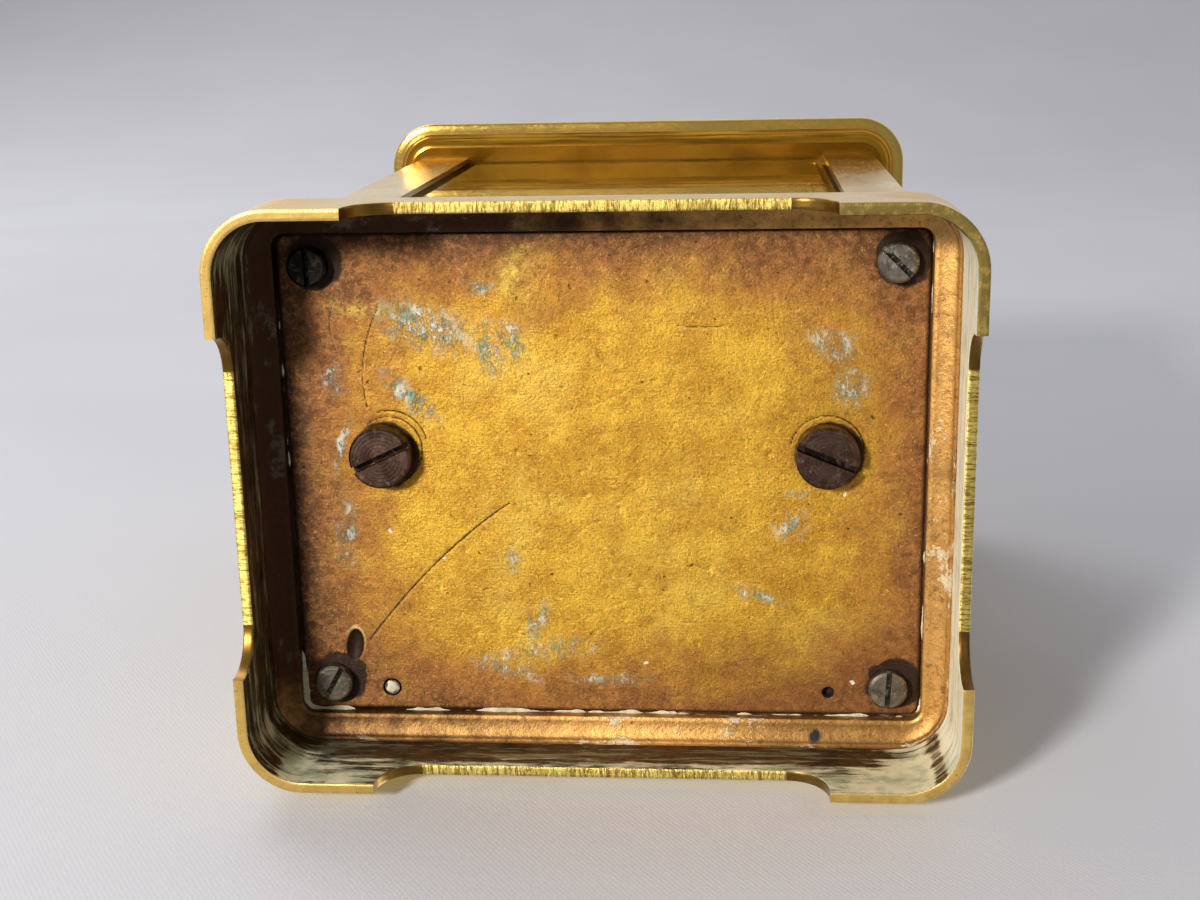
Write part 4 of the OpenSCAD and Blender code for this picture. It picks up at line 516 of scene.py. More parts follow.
EDGE_ROWS = (
    (0.25, PILLARS),
    (0.22, "door_frame"),
    (0.2, "door_stop"),
    (0.14, "movement_screws"),
    (0.12, "handle_posts handle door_knob dial_mask"),
    (0.10, "pillar_screws front_plate back_plate movement_pillars balance_cock train_bridge dial"),
    (0.08, "handle_pivots barrel barrel_cap platform plate_screws"),
    (0.06, "barrel_arbor"),
    (0.05, "door_hinge_pins click"),
    (0.04, "ratchet_wheel"),
    (0.03, "minute_hand hour_hand"))
SOFT_EDGE = {k: w for w, names in EDGE_ROWS for k in names.split()}


def edges(o, width, angle, segments=2):
    b = o.modifiers.new("edge", "BEVEL")
    b.width = width * MM
    b.segments = segments
    b.limit_method = "ANGLE"
    b.angle_limit = radians(angle)
    b.harden_normals = True


for name, o in NODES.items():
    me = o.data
    if "custom_normal" in me.attributes:
        me.attributes.remove(me.attributes["custom_normal"])
    flat = name.endswith("_glass") or name in ("ratchet_wheel", "click")
    me.polygons.foreach_set("use_smooth", [not flat] * len(me.polygons))
    me.materials.clear()
    me.materials.append(LOOK.get(name, STEEL))
    o.modifiers.new("join", "WELD").merge_threshold = 2e-7
    edges(o, SOFT_EDGE.get(name, 0.012), 33, 2 if name in SOFT_EDGE else 1)


# ---- mesh helpers
class Skin:
    """Points and faces of one piece."""

    def __init__(self):
        self.verts = []
        self.faces = []

    def rows(self, rows, closed=False, wrap=True, flip=False):
        """Joins rows of equally many points; closed joins last to first, wrap closes each row on itself."""
        base = len(self.verts)
        n = len(rows[0])
        self.verts += [tuple(p) for r in rows for p in r]
        for j in range(len(rows) if closed else len(rows) - 1):
            a = base + j * n
            b = base + (j + 1) % len(rows) * n
            for i in range(n if wrap else n - 1):
                k = (i + 1) % n
                face = (a + i, b + i, b + k, a + k) if flip else (a + i, a + k, b + k, b + i)
                self.faces.append(face)
        return self

    def cap(self, m):
        """Closes the last row, of m points."""
        n = len(self.verts)
        self.faces.append(tuple(range(n - m, n)))


def unit(v):
    return np.clip(v, 0, 1)


def add_mesh(name, verts, faces, mats, smooth=True):
    """A mesh object from points in metres."""
    me = bpy.data.meshes.new(name)
    me.from_pydata(verts, [], faces)
    for m in mats:
        me.materials.append(m)
    me.polygons.foreach_set("use_smooth", [smooth] * len(me.polygons))
    o = bpy.data.objects.new(name, me)
    scene.collection.objects.link(o)
    return o


def piece(name, skin, body, mats, index=None, smooth=True, replaces=()):
    """A visible piece from points in millimetres; index gives each face's material."""
    o = add_mesh(name, [tuple(c * MM for c in v) for v in skin.verts], skin.faces, mats, smooth)
    if index is not None:
        o.data.polygons.foreach_set("material_index", index)
    if body:
        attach(o, body)
    if replaces:
        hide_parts(*replaces)
    return o


LATTICE_SIZE = 64
LATTICES = {}


def lumps(p, scale, seed, octaves=3):
    """Smooth noise from -1 to 1 at points p, features 1/scale mm across."""
    if seed not in LATTICES:
        LATTICES[seed] = np.random.RandomState(seed).rand(LATTICE_SIZE, LATTICE_SIZE, LATTICE_SIZE)
    g = LATTICES[seed]
    p = np.asarray(p, float)
    out, amp, tot = np.zeros(len(p)), 1.0, 0.0
    for k in range(octaves):
        q = p * scale * 2 ** k + 17.3 * k + 100
        i = np.floor(q).astype(int)
        f = q - i
        f = f * f * (3 - 2 * f)
        s = np.zeros(len(p))
        for corner in np.ndindex(2, 2, 2):
            weight = 1.0
            for axis in range(3):
                weight = weight * (f[:, axis] if corner[axis] else 1 - f[:, axis])
            at = (i + corner) % LATTICE_SIZE
            s += weight * g[at[:, 0], at[:, 1], at[:, 2]]
        out += amp * (s * 2 - 1)
        tot += amp
        amp *= 0.5
    return out / tot


QUARTERS = ((1, 1), (-1, 1), (-1, -1), (1, -1))  # signs of x and y in the corners, anticlockwise
FOOT_STEP = 0.6  # upright step where a foot ends
ARCH = 5.15  # height of the lower edge between the feet


def side(nx, ny, length, recess, step):
    """Stations along one straight side: normal, place along it as a share, height of the lower edge."""
    if recess:
        c = ARCH - FOOT_STEP
        run = recess - c
        k = max(2, int((length - recess) / step))
        half = [(length - (length - recess) * i / k, 0.0) for i in range(k + 1)]
        half.append((recess - 0.012, FOOT_STEP))
        half += [(run + c * cos(radians(a)), FOOT_STEP + c * sin(radians(a)))
                 for a in range(9, 91, 9)]
        k = int(run / step)
        half += [(run * (1 - i / k), ARCH) for i in range(1, k + 1)]
    else:
        k = int(length / step)
        half = [(length * (1 - i / k), 0.0) for i in range(k + 1)]
    pts = [(-s, h) for s, h in half] + [(s, h) for s, h in reversed(half[:-1])]
    return [("s", nx, ny, s / length, h) for s, h in pts]


def stations(lx, ly, rx=0, ry=0, step=0.7, corner=14):
    """Stations round a rounded rectangle: half lengths of its sides and of the recesses between feet."""
    out = []
    for turn, (nx, ny) in enumerate(((1, 0), (0, 1), (-1, 0), (0, -1))):
        out += side(nx, ny, ly if nx else lx, ry if nx else rx, step)
        out += [("c", *QUARTERS[turn], radians(90 * turn + 90 * i / corner), 0.0)
                for i in range(1, corner)]
    return out


def outward(st):
    return [(s[1], s[2]) if s[0] == "s" else (cos(s[3]), sin(s[3])) for s in st]


def ring(st, hx, hy, r, z):
    """Points at the stations: half sizes, corner radius, and a height, which may follow the lower edge's."""
    out = []
    for kind, a, b, f, h in st:
        if kind == "s":
            x, y = (a * hx, a * f * (hy - r)) if a else (-b * f * (hx - r), b * hy)
        else:
            x, y = a * (hx - r) + r * cos(f), b * (hy - r) + r * sin(f)
        out.append((x, y, z(h) if callable(z) else z))
    return out


def circle(r, m):
    return [(r * cos(2 * pi * i / m), r * sin(2 * pi * i / m)) for i in range(m)]


def pulled(p0, p1, p2, s):
    """Point at share s of the curve from p0 to p2 that p1 pulls towards itself."""
    return [(1 - s) ** 2 * p0[i] + 2 * s * (1 - s) * p1[i] + s * s * p2[i] for i in (0, 1)]


def curve_through(points, per):
    """Catmull-Rom points through a profile's corners."""
    p = [points[0]] + list(points) + [points[-1]]
    out = []
    for i in range(1, len(p) - 2):
        for k in range(per):
            t = k / per
            out.append(tuple(0.5 * (2 * b + (c - a) * t + (2 * a - 5 * b + 4 * c - d) * t * t
                                    + (3 * b - a - 3 * c + d) * t ** 3)
                             for a, b, c, d in zip(*p[i - 1:i + 3])))
    return out + [tuple(points[-1])]


# ---- base
BASE_X, BASE_Y, BASE_R = 40, 32.3, 7  # outside of the base: half sizes and corner radius
INSIDE_X, INSIDE_Y, INSIDE_R = 38.75, 31.05, 5.75
BAND_X, BAND_Y, BAND_R = 35.9, 28.2, 1.5
CAP_X, CAP_Y, CAP_R = 41.1, 33.6, 7
PLATE_LOW, PLATE_TOP = 13.9, 15.5  # faces of the floor plate
CAP_TOP = 110.9
COVED_ROWS = 18  # rows of the cap below its upright side


def build_base():
    """The base moulding: band and inside of the skirt, undersides, then the outside from the feet up."""
    st = stations(33.0, 25.3, 25.05, 18.95)
    outside, under, inside, band, filed, arc = range(6)
    rows = [(BAND_X, BAND_Y, BAND_R, PLATE_TOP, outside)]
    rows += [(BAND_X, BAND_Y, BAND_R, z, band) for z in (14.2, 13.5, 12.75)]
    cove = [(2.85, 12.6), (2.0, 12.50), (1.14, 12.24), (0.55, 11.95), (0.342, 11.7), (0.1, 11.5), (0, 11.3)]
    for i, z in curve_through(cove, 3)[1:]:
        f = i / cove[0][0]
        rows.append((INSIDE_X - i, INSIDE_Y - i, INSIDE_R * (1 - f) + BAND_R * f, z, band))
    for k in range(1, 16):
        f = k / 15
        rows.append((INSIDE_X, INSIDE_Y, INSIDE_R, lambda h, f=f: 11.3 * (1 - f) + (h + 0.2) * f, inside))
    for i, dz in ((1.19, 0.06), (1.05, 0.0), (0.84, 0), (0.62, 0), (0.41, 0), (0.2, 0.0), (0.06, 0.06),
                  (0.0, 0.2)):
        rows.append((BASE_X - i, BASE_Y - i, BASE_R - i, lambda h, dz=dz: h + dz, under))
    for k in range(1, 9):
        f = k / 8
        rows.append((BASE_X, BASE_Y, BASE_R, lambda h, f=f: 9.9 * f + (h + 0.2) * (1 - f), outside))
    body = [(0.3, 10.2), (0.3, 10.7)]
    body += curve_through([(0.384, 11.3), (0.624, 11.9), (0.96, 12.5), (1.392, 12.95), (1.968, 13.3)], 3)
    for i, z in body + [(1.968, 13.8), (2.4, 14.1), (2.4, 14.8), (2.4, PLATE_TOP)]:
        rows.append((BASE_X - i, BASE_Y - i, BASE_R - i, z, outside))
    skin = Skin().rows([ring(st, *r[:4]) for r in rows], closed=True)
    n = len(st)
    idx = []
    for f in skin.faces:
        j = f[0] // n
        here, after = rows[j][4], rows[(j + 1) % len(rows)][4]
        kind = here if after == under else after
        if kind == under:
            h = [st[v % n][4] for v in f]
            kind = under if max(h) < 0.3 else (filed if min(h) > 5.1 else arc)
        idx.append(kind)
    v = np.array(skin.verts)
    even = v.copy()
    kinds = np.repeat([r[4] for r in rows], n)
    edge = np.tile([s[4] for s in st], len(rows))
    a = np.where(kinds == inside, lumps(v, 0.35, 1) * 0.07 + lumps(v, 1.4, 2, 2) * 0.03, 0.0)
    a = a * unit((v[:, 2] - edge - 0.3) / 1.5) * unit((11.3 - v[:, 2]) / 0.8)
    v[:, :2] -= np.tile(outward(st), (len(rows), 1)) * np.abs(a)[:, None]
    low = kinds == under
    v[:, 2] += np.where(low, np.clip(lumps(even, 0.6, 3) * 0.03 + 0.02, 0, 0.06), 0)
    v[:, 2] += np.where(low & (edge > 5.0), lumps(even, 0.25, 4) * 0.10, 0)
    skin.verts = v.tolist()
    o = piece("base_shell", skin, "case", [GILT_SKIRT, FOOT, INNER, BAND, FILED, SHADED_ARC], idx,
              replaces=("base_moulding",))
    edges(o, 0.07, 40)


def build_cap():
    """The top cap: its moulded outside, then the sunk frame round the top glass."""
    st = stations(34.1, 26.6, step=1.6, corner=16)
    prof = [(3.6, 103.0), (3.6, 103.3)]
    prof += curve_through([(3.2, 103.38), (2.7, 103.65), (2.2, 104.1), (1.8, 104.7), (1.62, 104.98)], 4)
    prof += [(1.36, 105.0), (1.36, 105.32), (0.3, 105.36)]
    prof += curve_through([(0.12, 105.45), (0.03, 105.6), (0.0, 105.8)], 2) + [(0.0, 107.2)]
    prof += curve_through([(0.03, 107.4), (0.14, 107.6), (0.32, 107.7)], 2) + [(0.9, 107.8), (0.9, 108.2)]
    prof += curve_through([(0.95, 108.4), (1.2, 108.75), (1.8, 109.2), (2.6, 109.48)], 3) + [(2.6, 109.8)]
    prof += curve_through([(3.25, 109.88), (3.55, 110.02), (3.7, 110.25)], 2) + [(3.7, 110.65)]
    prof += curve_through([(3.74, 110.8), (3.9, CAP_TOP)], 2)
    rings = [ring(st, CAP_X - i, CAP_Y - i, CAP_R - i, z) for i, z in prof]
    for i in (6.5, 10, 13.5):
        f = (i - 3.9) / 11.9
        rings.append(ring(st, CAP_X - i, CAP_Y - i, 3.1 * (1 - f) + 0.5 * f, CAP_TOP))
    for hx, hy, r, z in ((25.42, 17.82, 0.5, CAP_TOP), (25.3, 17.7, 0.4, 110.78), (25.3, 17.7, 0.4, 108.9),
                         (23.42, 15.82, 0.4, 108.9), (23.3, 15.7, 0.3, 108.78), (23.3, 15.7, 0.3, 106.9),
                         (28.5, 20.9, 0.3, 106.9), (28.5, 20.9, 0.3, 103.0)):
        rings.append(ring(st, hx, hy, r, z))
    skin = Skin().rows(rings, closed=True)
    row_of = [f[0] // len(st) for f in skin.faces]
    # the lower moulding and the underside take the darker copy of the gilt, as painted shade
    idx = [1 if j < COVED_ROWS or j == len(rings) - 1 else 0 for j in row_of]
    skin.faces = [f[::-1] for f in skin.faces]
    o = piece("cap_shell", skin, "case", [GILT, SHADED_COVE], idx, replaces=("top_cap",))
    edges(o, 0.10, 38)


def build_plate():
    """The floor plate as a fine grid of heights, with its scratches, soiling, painted shade and painted
    glints marked point by point.
    """
    hx, hy, r = 35.78, 28.08, 1.45
    nx, ny = 450, 354
    Y = np.repeat(np.linspace(-hy, hy, ny), nx)
    over = np.clip(np.abs(Y) - (hy - r), 0, r)
    ext = hx - r + np.sqrt(np.maximum(r * r - over * over, 0))
    X = np.tile(np.linspace(-1, 1, nx), ny) * ext
    # rims of the two holes are pulled onto true circles
    hole = np.zeros(len(X))
    for cx, rad, deep in ((-HOLE_X, 1.07, 1.35), (HOLE_X, 0.66, 0.9)):
        d = np.hypot(X - cx, Y - HOLE_Y)
        near = np.abs(d - rad) < 0.09
        k = np.where(near & (d > 0), rad / np.maximum(d, 1e-6), 1)
        X = cx + (X - cx) * k
        Y = HOLE_Y + (Y - HOLE_Y) * k
        hole = np.where((d < rad - 0.09), deep, hole)
        hole = np.where(near & (d < rad), 0.05, hole)
    P = np.stack([X, Y, np.zeros(len(X))], 1)
    Z = PLATE_LOW + np.abs(lumps(P, 0.06, 5) * 0.05) + np.abs(lumps(P, 0.5, 6, 3)) * 0.035
    e = np.minimum(ext - np.abs(X), hy - np.abs(Y))
    Z += 0.3 * unit(1 - e / 0.45) ** 2
    Z += hole
    # gouge: a lens-shaped dent with a raised lip
    a = radians(8)
    gx, gy = X + 29.5, Y - 20.1
    gu, gv = gx * cos(a) + gy * sin(a), -gx * sin(a) + gy * cos(a)
    q = (np.abs(gu) / 0.98) ** 1.7 + (np.abs(gv) / 2.0) ** 2.4
    Z += 0.62 * unit(1 - q) ** 0.7
    lip = np.exp(-((np.sqrt(q) - 1.12) / 0.14) ** 2)
    lip = lip * unit(0.15 + 0.85 * (gx * 0.5 - gy * 0.5) / 1.2)
    Z -= 0.13 * lip
    # dark in the gouge; the hole term is painted shade down inside the holes
    marks_and_shade = 0.95 * unit(1.2 - q) ** 0.4 + hole * 0.6
    # dirt and painted shadow beside the screws, painted shade round the holes
    wob = lumps(P, 0.8, 11, 3)
    for sx in (-1, 1):
        for sy in (-1, 1):
            d = np.hypot(X - sx * PILLAR_SCREWS[0] - 0.75, Y - sy * PILLAR_SCREWS[1] + 0.30)
            marks_and_shade = np.maximum(marks_and_shade, unit(1.2 - (d - 2.50) / (0.75 + 0.6 * wob)))
        d = np.hypot(X - sx * MOVEMENT_SCREWS[0] - 0.3, Y - MOVEMENT_SCREWS[1] - 0.2)
        marks_and_shade = np.maximum(marks_and_shade, unit(1.1 - (d - 3.5) / (0.45 + 0.3 * wob)) * 0.85)
    # painted highlight: a glint on the gouge's lip, strongest on its upper right side
    glint = 0.9 * unit(lip)
    # painted shade: a dark ring round each hole's rim
    for cx, rad in ((-HOLE_X, 1.0), (HOLE_X, 0.6)):
        d = np.hypot(X - cx, Y - HOLE_Y)
        marks_and_shade = np.maximum(marks_and_shade, 0.8 * unit(1 - np.abs(d - rad) / 0.22))
    # seats scribed round the movement screws: centre, radius, from and to in degrees
    for cx, cy, rad, a0, a1 in ((-24.2, -3.6, 3.75, -130, 60), (-24.0, -3.9, 4.15, -110, -10),
                                (24.9, -3.3, 4.1, -170, 20)):
        d = np.abs(np.hypot(X - cx, Y - cy) - rad)
        th = np.degrees(np.arctan2(Y - cy, X - cx))
        on = unit(1 - d / 0.16) * ((th > a0) & (th < a1))
        marks_and_shade = np.maximum(marks_and_shade, 0.75 * on)
        Z += 0.05 * on

    def groove(p0, p1, p2, width, deep, dark):
        """A scratch along a curve, with a painted glint on a burr along both sides."""
        ends = np.array((p0, p1, p2))
        lo, hi = ends.min(0) - 0.6, ends.max(0) + 0.6
        part = np.nonzero((X > lo[0]) & (X < hi[0]) & (Y > lo[1]) & (Y < hi[1]))[0]
        px, py = X[part], Y[part]
        best = np.full(len(part), 9e9)
        last = p0
        for k in range(1, 25):
            c = pulled(p0, p1, p2, k / 24)
            dx, dy = c[0] - last[0], c[1] - last[1]
            m = unit(((px - last[0]) * dx + (py - last[1]) * dy) / (dx * dx + dy * dy))
            best = np.minimum(best, np.hypot(px - last[0] - m * dx, py - last[1] - m * dy))
            last = c
        on = unit(1 - best / width)
        burr = unit(1 - np.abs(best - width * 1.3) / (width * 0.5))
        Z[part] += deep * on
        marks_and_shade[part] = np.maximum(marks_and_shade[part], dark * on)
        glint[part] = np.maximum(glint[part], dark * 0.18 * burr)

    groove((-27.7, 19.4), (-19.5, 8.6), (-10.7, 2.7), 0.16, 0.045, 1.0)
    groove((-26.5, -8.5), (-27.6, -14.0), (-24.8, -19.5), 0.16, 0.05, 0.7)
    groove((-29.5, -14.5), (-31.0, -18.0), (-29.4, -20.8), 0.16, 0.04, 0.5)
    groove((8.5, -17.6), (11.0, -17.2), (13.8, -17.5), 0.17, 0.06, 0.6)
    rs = np.random.RandomState(8)
    for _ in range(70):
        x, y, t = rs.uniform(-32, 32), rs.uniform(-25, 24), rs.uniform(0, pi)
        ln, bow = rs.uniform(1.0, 5.5), rs.uniform(-0.5, 0.5)
        c, s = cos(t), sin(t)
        groove((x, y), (x + ln * 0.5 * c - bow * s, y + ln * 0.5 * s + bow * c), (x + ln * c, y + ln * s),
               0.16, rs.uniform(0.01, 0.04), rs.uniform(0.1, 0.5))
    for _ in range(90):
        x, y, s = rs.uniform(-34, 34), rs.uniform(-26, 26), rs.uniform(0.15, 0.35)
        dent = np.exp(-((X - x) ** 2 + (Y - y) ** 2) / (s * s))
        Z += rs.uniform(0.03, 0.12) * dent
        marks_and_shade = np.maximum(marks_and_shade, rs.uniform(0.0, 0.42) * dent)
    grid = np.stack([X, Y, Z], 1).reshape(ny, nx, 3).tolist()
    skin = Skin().rows(grid, wrap=False, flip=True)
    # the edge goes up from the grid's border to the flat upper face
    loop = list(range(nx)) + [j * nx + nx - 1 for j in range(1, ny)]
    loop += [(ny - 1) * nx + i for i in range(nx - 2, -1, -1)] + [j * nx for j in range(ny - 2, 0, -1)]
    base = len(skin.verts)
    skin.verts += [(*skin.verts[k][:2], PLATE_TOP) for k in loop]
    m = len(loop)
    idx = [0] * (len(skin.faces) + m) + [1]
    for i in range(m):
        k = (i + 1) % m
        skin.faces.append((loop[i], loop[k], base + k, base + i))
    skin.cap(m)
    o = piece("aged_plate", skin, "case", [PLATE, GRAINED], idx, replaces=("floor_plate",))
    me = o.data
    for name, values in (("marks_and_shade", marks_and_shade), ("glint", glint)):
        at = me.attributes.new(name, "FLOAT", "POINT")
        values = np.concatenate([unit(values), np.zeros(m)])
        at.data.foreach_set("value", values.astype(np.float32))
    me.polygons[len(me.polygons) - 1].use_smooth = False
    me.set_sharp_from_angle(angle=radians(60))


def build_residue():
    """Dried polish: a ragged fillet round the plate's edge, and a crumb in the left hole."""
    st = stations(34.4, 26.7, step=0.25, corner=8)
    outer = np.array(ring(st, 35.92, 28.22, BAND_R, 0.0))
    x, y = outer[:, 0], outer[:, 1]
    rear = y > 27
    boost = 0.9 * np.exp(-((x + 34.5) ** 2 + (y - 26) ** 2) / 14) + 0.30 * (rear & (x > -24) & (x < 8)) \
        - 0.04 * (x > 35) + 0.25 * np.exp(-((x - 34.5) ** 2 + (y - 26.5) ** 2) / 5) + 0.1 * (rear & (x > 8))
    w = np.clip(lumps(outer, 0.45, 9, 3) * 0.55 + boost - 0.12, -0.06, 1.0)
    w = w * (0.85 + 0.3 * lumps(outer, 2.0, 10, 2))
    out = np.array(outward(st))
    rows = []
    for f, up in ((1.6, 0.12), (1.25, 0.02), (0.8, -0.18), (0.45, -0.42), (0.18, -0.72), (0.0, -1.1),
                  (-0.25, -0.6)):
        row = [x - out[:, 0] * w * f * 0.8, y - out[:, 1] * w * f * 0.8, 13.96 + w * up * 0.8]
        rows.append(np.stack(row, 1).tolist())
    skin = Skin().rows(rows)
    base, m = len(skin.verts), 28
    for k, (rad, z) in enumerate(((0.74, 14.02), (0.62, 13.88), (0.40, 13.80), (0.18, 13.77))):
        for i in range(m):
            a = 2 * pi * i / m
            r = rad * (1 + 0.12 * sin(3 * a + 1) + 0.08 * sin(5 * a + k))
            x, y = r * cos(a), r * sin(a)
            skin.verts.append((-HOLE_X + x, HOLE_Y + y, z + 0.02 * sin(4 * a)))
    for k in range(3):
        a, b = base + k * m, base + (k + 1) * m
        for i in range(m):
            j = (i + 1) % m
            skin.faces.append((a + j, a + i, b + i, b + j))
    skin.faces.append(tuple(base + 3 * m + i for i in range(m - 1, -1, -1)))
    piece("dried_polish", skin, "case", [POLISH])


# ---- dial
DIAL_Y, DIAL_Z = -21.4, 60.0  # face and centre of the dial
MASK_Y, MASK_Z = -22.03, 59.25  # face of the mask, and the middle of its frame lines
WIDE, THIN, TALL, SERIF = 0.62, 0.16, 4.3, 0.12  # widths and height of the numerals' strokes


def strokes(text):
    """A Roman numeral as flat outlines in (across, up), centred."""
    width = {"I": 1.25, "V": 2.5, "X": 2.6}
    x = -sum(width[c] for c in text) / 2
    out = []

    def slant(top, top_half, foot, foot_half):
        out.append([(top - top_half, TALL), (foot - foot_half, 0),
                    (foot + foot_half, 0), (top + top_half, TALL)])

    for c in text:
        m = x + width[c] / 2
        feet = (0, TALL - SERIF)
        if c == "I":
            out.append([(m - WIDE / 2, 0), (m + WIDE / 2, 0), (m + WIDE / 2, TALL), (m - WIDE / 2, TALL)])
            ends, half = (m,), 0.55
        elif c == "V":
            slant(m - 1.0, WIDE / 2, m - 0.08, WIDE * 0.3)
            slant(m + 0.95, THIN / 2, m + 0.02 + THIN / 2, THIN / 2)
            ends, half = (m - 1.0, m + 0.95), 0.5
            feet = feet[1:]
        else:
            slant(m - 0.95, WIDE / 2, m + 0.95, WIDE / 2)
            slant(m + 0.95, THIN / 2, m - 0.95, THIN / 2)
            ends, half = (m - 0.95, m + 0.95), 0.5
        for q in ends:
            for h in feet:
                out.append([(q - half, h), (q + half, h), (q + half, h + SERIF), (q - half, h + SERIF)])
        x += width[c]
    return out


def build_dial():
    """Minute ring and Roman numerals, standing just proud of the enamel."""
    skin = Skin()

    def flat(pts, proud):
        b, m = len(skin.verts), len(pts)
        skin.verts += [(x, DIAL_Y - proud, DIAL_Z + z) for x, z in pts]
        skin.verts += [(x, DIAL_Y + 0.03, DIAL_Z + z) for x, z in pts]
        skin.faces.append(tuple(b + i for i in range(m)))
        for i in range(m):
            k = (i + 1) % m
            skin.faces.append((b + k, b + i, b + m + i, b + m + k))

    for r0, r1 in ((20.05, 20.2), (18.45, 18.6)):
        for i in range(180):
            a, c = 2 * pi * i / 180, 2 * pi * (i + 1) / 180
            flat([(r * sin(e), r * cos(e)) for r, e in ((r0, a), (r0, c), (r1, c), (r1, a))], 0.04)
    for i in range(60):
        a = radians(6 * i)
        w = 0.30 if i % 5 == 0 else 0.09
        s, c = sin(a), cos(a)
        bar = ((18.5, -1), (18.5, 1), (20.1, 1), (20.1, -1))
        flat([(r * s + e * w * c, r * c - e * w * s) for r, e in bar], 0.05)
    for i, text in enumerate("XII I II III IIII V VI VII VIII IX X XI".split()):
        a = radians(30 * i)
        s, c = sin(a), cos(a)
        squeeze = 0.82 if len(text) > 3 else 1.0
        for j, outline in enumerate(strokes(text)):
            pts = []
            for x, up in outline:
                r = 13.3 + up
                x = x * squeeze * (r / 15.5)
                pts.append((x * c + r * s, -x * s + r * c))
            flat(pts, 0.05 + 0.002 * (j % 7))
    piece("dial_numbers", skin, "case", [INK], smooth=False)


def build_trim():
    """The mask's turned bezel, its three frame lines, and a rosette of beads in each corner."""
    prof = [(22.85, -22.03), (22.85, -22.22), (23.0, -22.36), (23.2, -22.40), (23.4, -22.36), (23.5, -22.25),
            (23.58, -22.22), (23.66, -22.28), (23.78, -22.30), (23.9, -22.26), (24.0, -22.15), (24.0, -22.03)]
    skin = Skin().rows([[(b, y, 60 + a) for a, b in circle(rad, 160)] for rad, y in prof])

    def strip(points, w):
        """A rounded line through points, w high and w to each side."""
        rows = []
        for i, (x, z) in enumerate(points):
            p, q = points[max(i - 1, 0)], points[min(i + 1, len(points) - 1)]
            dx, dz = q[0] - p[0], q[1] - p[1]
            ln = hypot(dx, dz) or 1
            ox, oz = -dz / ln, dx / ln
            rows.append([(x + ox * e * w, MASK_Y - up * w, z + oz * e * w)
                         for e, up in ((-1, 0), (-0.55, 0.8), (0, 1), (0.55, 0.8), (1, 0))])
        skin.rows(rows, wrap=False)

    for hx, hz, w, r, hollow in ((26.3, 41.8, 0.24, 1.5, False), (25.2, 40.7, 0.15, 4.2, True),
                                 (24.7, 40.2, 0.09, 4.3, True)):
        pts = []
        for turn, (sx, sz) in enumerate(QUARTERS):
            a0 = 90 * turn
            cx, cz = (sx * hx, sz * hz) if hollow else (sx * (hx - r), sz * (hz - r))
            for i in range(15):
                a = radians(a0 + 270 - 90 * i / 14 if hollow else a0 + 90 * i / 14)
                pts.append((cx + r * cos(a), MASK_Z + cz + r * sin(a)))
        strip(pts + pts[:1], w)

    def bead(x, z, rad):
        skin.rows([[(x + a, MASK_Y - up * rad * 0.6, z + b) for a, b in circle(rad * f, 18)]
                   for f, up in ((1.0, 0.0), (0.86, 0.5), (0.5, 0.86), (0.15, 1.0))])
        skin.cap(18)

    for sx in (-1, 1):
        for sz in (-1, 1):
            cx, cz = sx * 23.75, MASK_Z + sz * 39.25
            bead(cx, cz, 0.55)
            for a, b in circle(0.92, 8):
                bead(cx + a, cz + b, 0.30)
    piece("mask_trim", skin, "case", [GILT])


def build_jewels():
    """Ruby bearings let into the balance cock and the train bridge: x, radius and rise of each."""
    skin = Skin()
    dome = ((1.0, -0.3), (1.0, 0.0), (0.85, 0.45), (0.5, 0.85), (0.18, 1.0), (0.16, 0.6))
    for holder, jewels in (("balance_cock", ((-5.4, 0.85, 0.28),)),
                           ("train_bridge", ((8.0, 0.6, 0.22), (3.1, 0.6, 0.22)))):
        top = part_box(holder)[1].z * 1000
        for x, rad, rise in jewels:
            skin.rows([[(x + a, -1.1 + b, top + rise * h) for a, b in circle(rad * f, 20)] for f, h in dome])
            skin.cap(20)
    piece("jewels", skin, "case", [RUBY])


def build_sinks():
    """Turned oil sinks round the pivots in the back plate."""
    skin = Skin()
    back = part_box("back_plate")[1].y * 1000
    for name, outer, inner in (("intermediate_arbor", 1.7, 0.55), ("third_arbor", 1.5, 0.5),
                               ("contrate_arbor", 1.6, 0.5), ("centre_arbor", 3.1, 2.0)):
        lo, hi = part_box(name)
        cx, cz = (lo.x + hi.x) * 500, (lo.z + hi.z) * 500
        w = outer - inner
        prof = ((outer, -0.02), (outer - 0.04, 0.13), (outer - 0.12, 0.16), (outer - 0.26 * w, 0.16),
                (outer - 0.34 * w, 0.10), (outer - 0.6 * w, 0.045), (inner + 0.08, 0.03), (inner, -0.02))
        rows = [[(cx + a, back + h, cz + b) for a, b in circle(r, 48)] for r, h in prof]
        skin.rows(rows, closed=True, flip=True)
    o = piece("oil_sinks", skin, "case", [BALANCE])
    o.data.set_sharp_from_angle(angle=radians(50))


